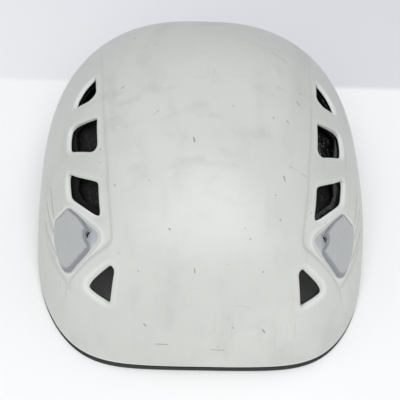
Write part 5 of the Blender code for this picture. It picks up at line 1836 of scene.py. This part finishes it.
@dataclass
class Hardware:
    """Moulded and metal pieces whose shapes come straight from the CAD model."""

    def body_of(self, node: str) -> str:
        """The body that a CAD node rides on."""
        groups = frame["record"]["behaviour"]["bodies"]
        return next(body for body, nodes in groups.items() if node in nodes)

    def pieces(self) -> list[tuple[str, Finish, str, float]]:
        """Each node with its finish, slot and edge rounding."""
        rows = [("headband_front", HARNESS, "harness_plastic", 0.0006),
                ("nape_yoke", HARNESS, "harness_plastic", 0.00025),
                ("nape_cradle", HARNESS, "harness_plastic", 0.0005),
                ("buckle_socket", BUCKLE, "buckle_plastic", 0.0005),
                ("buckle_plug", BUCKLE, "buckle_plastic", 0.0004),
                ("buckle_prong_upper", BUCKLE, "buckle_plastic", 0.0004),
                ("buckle_prong_lower", BUCKLE, "buckle_plastic", 0.0004),
                ("strap_keeper", TRIM, "trim_rubber", 0.0004)]
        for side, _ in SIDES:
            film = FILM if side == "right" else FILM_MATTE_SHADED
            rows += [(f"shutter_{side}", film, "shutter_plastic", 0.00020),
                     (f"size_wheel_{side}", WHEEL, "harness_plastic", 0.00025),
                     (f"wheel_housing_{side}", HARNESS, "harness_plastic", 0.0004),
                     (f"divider_{side}", HARNESS, "harness_plastic", 0.0003),
                     (f"divider_flap_{side}", HARNESS, "harness_plastic", 0.0003),
                     (f"wheel_axle_{side}", STEEL, "pin_steel", 0.00015),
                     (f"cradle_pin_{side}", STEEL, "pin_steel", 0.00015),
                     (f"flap_pin_{side}", STEEL, "pin_steel", 0.00015)]
            for where in ("front", "side"):
                rows += [(f"hanger_{where}_{side}", HARNESS, "harness_plastic", 0.0003),
                         (f"hanger_pin_{where}_{side}", HARNESS, "harness_plastic", 0.0002)]
            for where in ("front", "rear"):
                rows += [(f"strap_anchor_{where}_{side}", HARNESS, "harness_plastic", 0.0005),
                         (f"strap_bar_{where}_{side}", STEEL, "pin_steel", 0.0002)]
        return rows

    def build(self, rule: RuleTree) -> None:
        """All hardware pieces, and the grip ribs of the size wheels."""
        for node, finish, slot, edge in self.pieces():
            piece = refined(f"{node}_fine", node, finish, edge)
            place_piece(piece, self.body_of(node), slot, node)
        for side, _ in SIDES:
            low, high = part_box(f"size_wheel_{side}")
            disc = frame["nodes"][f"size_wheel_{side}"].data.vertices
            rim = [v.co for v in disc if math.hypot(v.co.y - (low.y + high.y) / 2,
                                                    v.co.z - (low.z + high.z) / 2) > 0.0130]
            inner, outer = min(p.x for p in rim), max(p.x for p in rim)
            middle = ((inner + outer) / 2, (low.y + high.y) / 2, (low.z + high.z) / 2)
            mesh = bpy.data.meshes.new(f"wheel_middle_{side}")
            mesh.from_pydata([middle], [], [])
            ribs = rule.make(f"wheel_ribs_{side}", mesh, WHEEL, Radius=0.01425,
                             Rib_Length=(outer - inner) * 0.92)
            place_piece(ribs, f"size_wheel_{side}", "harness_plastic")


SEAM_SHARE = 0.93  # of the pad's own turn about the head
SEAM_POINTS = 40
SEAM_WINDOW = 0.09  # radians on each side of a point, where the pad's face is looked for
SEAM_SMOOTHINGS = 4


def seam_lines(node: str, inset: float, out: float) -> list[np.ndarray]:
    """Two stitched lines along a curved front pad, near its upper and lower edges.

    Args:
        node: The pad's CAD node.
        inset: Distance of the lines from those edges.
        out: How far the lines stand off the pad's inner face.

    Returns:
        The lines.
    """
    mesh = frame["nodes"][node].data
    co = np.array([v.co for v in mesh.vertices])
    turn = np.arctan2(co[:, 0], -co[:, 1])
    marks = np.linspace(turn.min() * SEAM_SHARE, turn.max() * SEAM_SHARE, SEAM_POINTS)
    lines = []
    for height in (co[:, 2].min() + inset, co[:, 2].max() - inset):
        line = []
        for mark in marks:
            close = np.abs(turn - mark) < SEAM_WINDOW
            reach = np.hypot(co[close, 0], co[close, 1]).min() - out
            line.append((reach * math.sin(mark), -reach * math.cos(mark), height))
        path = np.array(line)
        for _ in range(SEAM_SMOOTHINGS):
            path[1:-1] = (path[:-2] + path[1:-1] * 2 + path[2:]) / 4
        lines.append(path)
    return lines


# --- Stage ----------------------------------------------------------------------------

@dataclass
class Studio:
    """Floor, soft lights and the camera."""

    target: tuple[float, float, float] = (0.000185, 0.0, 0.013148)
    distance: float = 0.900
    azimuth: float = -3.499
    elevation: float = 44.054
    roll: float = 3.707
    lens: float = 113.64

    def camera(self) -> None:
        """The camera at the height and turn from which the helmet is seen."""
        a, e = math.radians(self.azimuth), math.radians(self.elevation)
        back = Vector((math.sin(a) * math.cos(e), -math.cos(a) * math.cos(e), math.sin(e)))
        data = bpy.data.cameras.new("camera")
        data.sensor_width = 36.0
        data.lens = self.lens
        camera = bpy.data.objects.new("camera", data)
        bpy.context.scene.collection.objects.link(camera)
        level = (-back).to_track_quat("-Z", "Y").to_matrix()
        turned = level @ Matrix.Rotation(math.radians(self.roll), 3, "Z")
        place = Vector(self.target) + back * self.distance
        camera.matrix_world = Matrix.Translation(place) @ turned.to_4x4()
        bpy.context.scene.camera = camera

    def area(self, name: str, place: Sequence[float], size: float, power: float) -> None:
        """A square soft light that points at the helmet."""
        data = bpy.data.lights.new(name, "AREA")
        data.size = size
        data.energy = power
        light = bpy.data.objects.new(name, data)
        bpy.context.scene.collection.objects.link(light)
        light.location = place
        aim = Vector((0.0, 0.0, 0.06)) - Vector(place)
        light.rotation_euler = aim.to_track_quat("-Z", "Y").to_euler()

    def build(self) -> None:
        """Makes the floor, the lights, the room's glow and the camera."""
        half, rows = 4.0, 8
        span = np.linspace(-half, half, rows + 1)
        verts = np.array([(x, y, 0.0) for y in span for x in span])
        faces = [(j * (rows + 1) + i, j * (rows + 1) + i + 1, (j + 1) * (rows + 1) + i + 1,
                  (j + 1) * (rows + 1) + i) for j in range(rows) for i in range(rows)]
        mesh = bpy.data.meshes.new("floor")
        mesh.from_pydata(verts.tolist(), [], faces)
        floor = bpy.data.objects.new("floor", mesh)
        bpy.context.scene.collection.objects.link(floor)
        dress(floor, FLOOR)
        world = bpy.data.worlds.new("room")
        world.use_nodes = True
        graph = Graph(world.node_tree)
        glow = graph.node("ShaderNodeBackground", None, {"Color": (0.93, 0.95, 1.0), "Strength": 0.56})
        graph.node("ShaderNodeOutputWorld", None, {"Surface": glow})
        bpy.context.scene.world = world
        bpy.context.scene.view_settings.view_transform = "Standard"
        self.area("key_light", (-0.10, -1.90, 2.30), 2.0, 51.0)
        self.area("fill_light", (-0.7, 0.2, 1.2), 0.7, 0.9)
        self.area("back_light", (0.6, 0.6, 1.3), 0.8, 1.6)
        self.camera()


# --- Whole helmet -----------------------------------------------------------------------

def main() -> None:
    """Builds every piece in order."""
    logging.basicConfig(level=logging.INFO, format="%(message)s")
    Studio().build()
    shell = ShellMould().build()
    place_piece(shell, "helmet", "shell_abs", "shell")
    plates = ClipPlates()
    for side, sign in SIDES:
        for where, sketch in (("front", CLIP_SKETCH), ("rear", REAR_CLIP_SKETCH)):
            plate = plates.build(f"clip_plate_{where}_{side}", sketch, sign < 0)
            place_piece(plate, "helmet", "clip_plastic", f"clip_{where}_{side}")
    place_piece(RimTrim().build(), "helmet", "trim_rubber", "rim_trim")
    place_piece(Liner().build(), "helmet", "liner_foam", "crown_liner")
    stitches, grips = stitch_tree(), grip_tree()
    Hardware().build(grips)
    ChinHarness().build(stitches)
    for node, body in (("pad_crown_front", "helmet"), ("pad_crown_rear", "helmet"),
                       ("pad_brow", "helmet"), ("pad_nape", "cradle")):
        place_piece(puffed(f"{node}_cloth", node, PAD), body, "pad_fabric", node)
        if node == "pad_brow":
            lines = line_mesh(f"seams_{node}", *seam_lines(node, 0.0032, 0.0002))
            seams = stitches.make(f"seams_{node}", lines, THREAD, Pitch=0.0030,
                                  Stitch_Length=0.0023, Thread_Radius=0.00030)
            place_piece(seams, body, "pad_fabric")


if __name__ == "__main__":
    main()
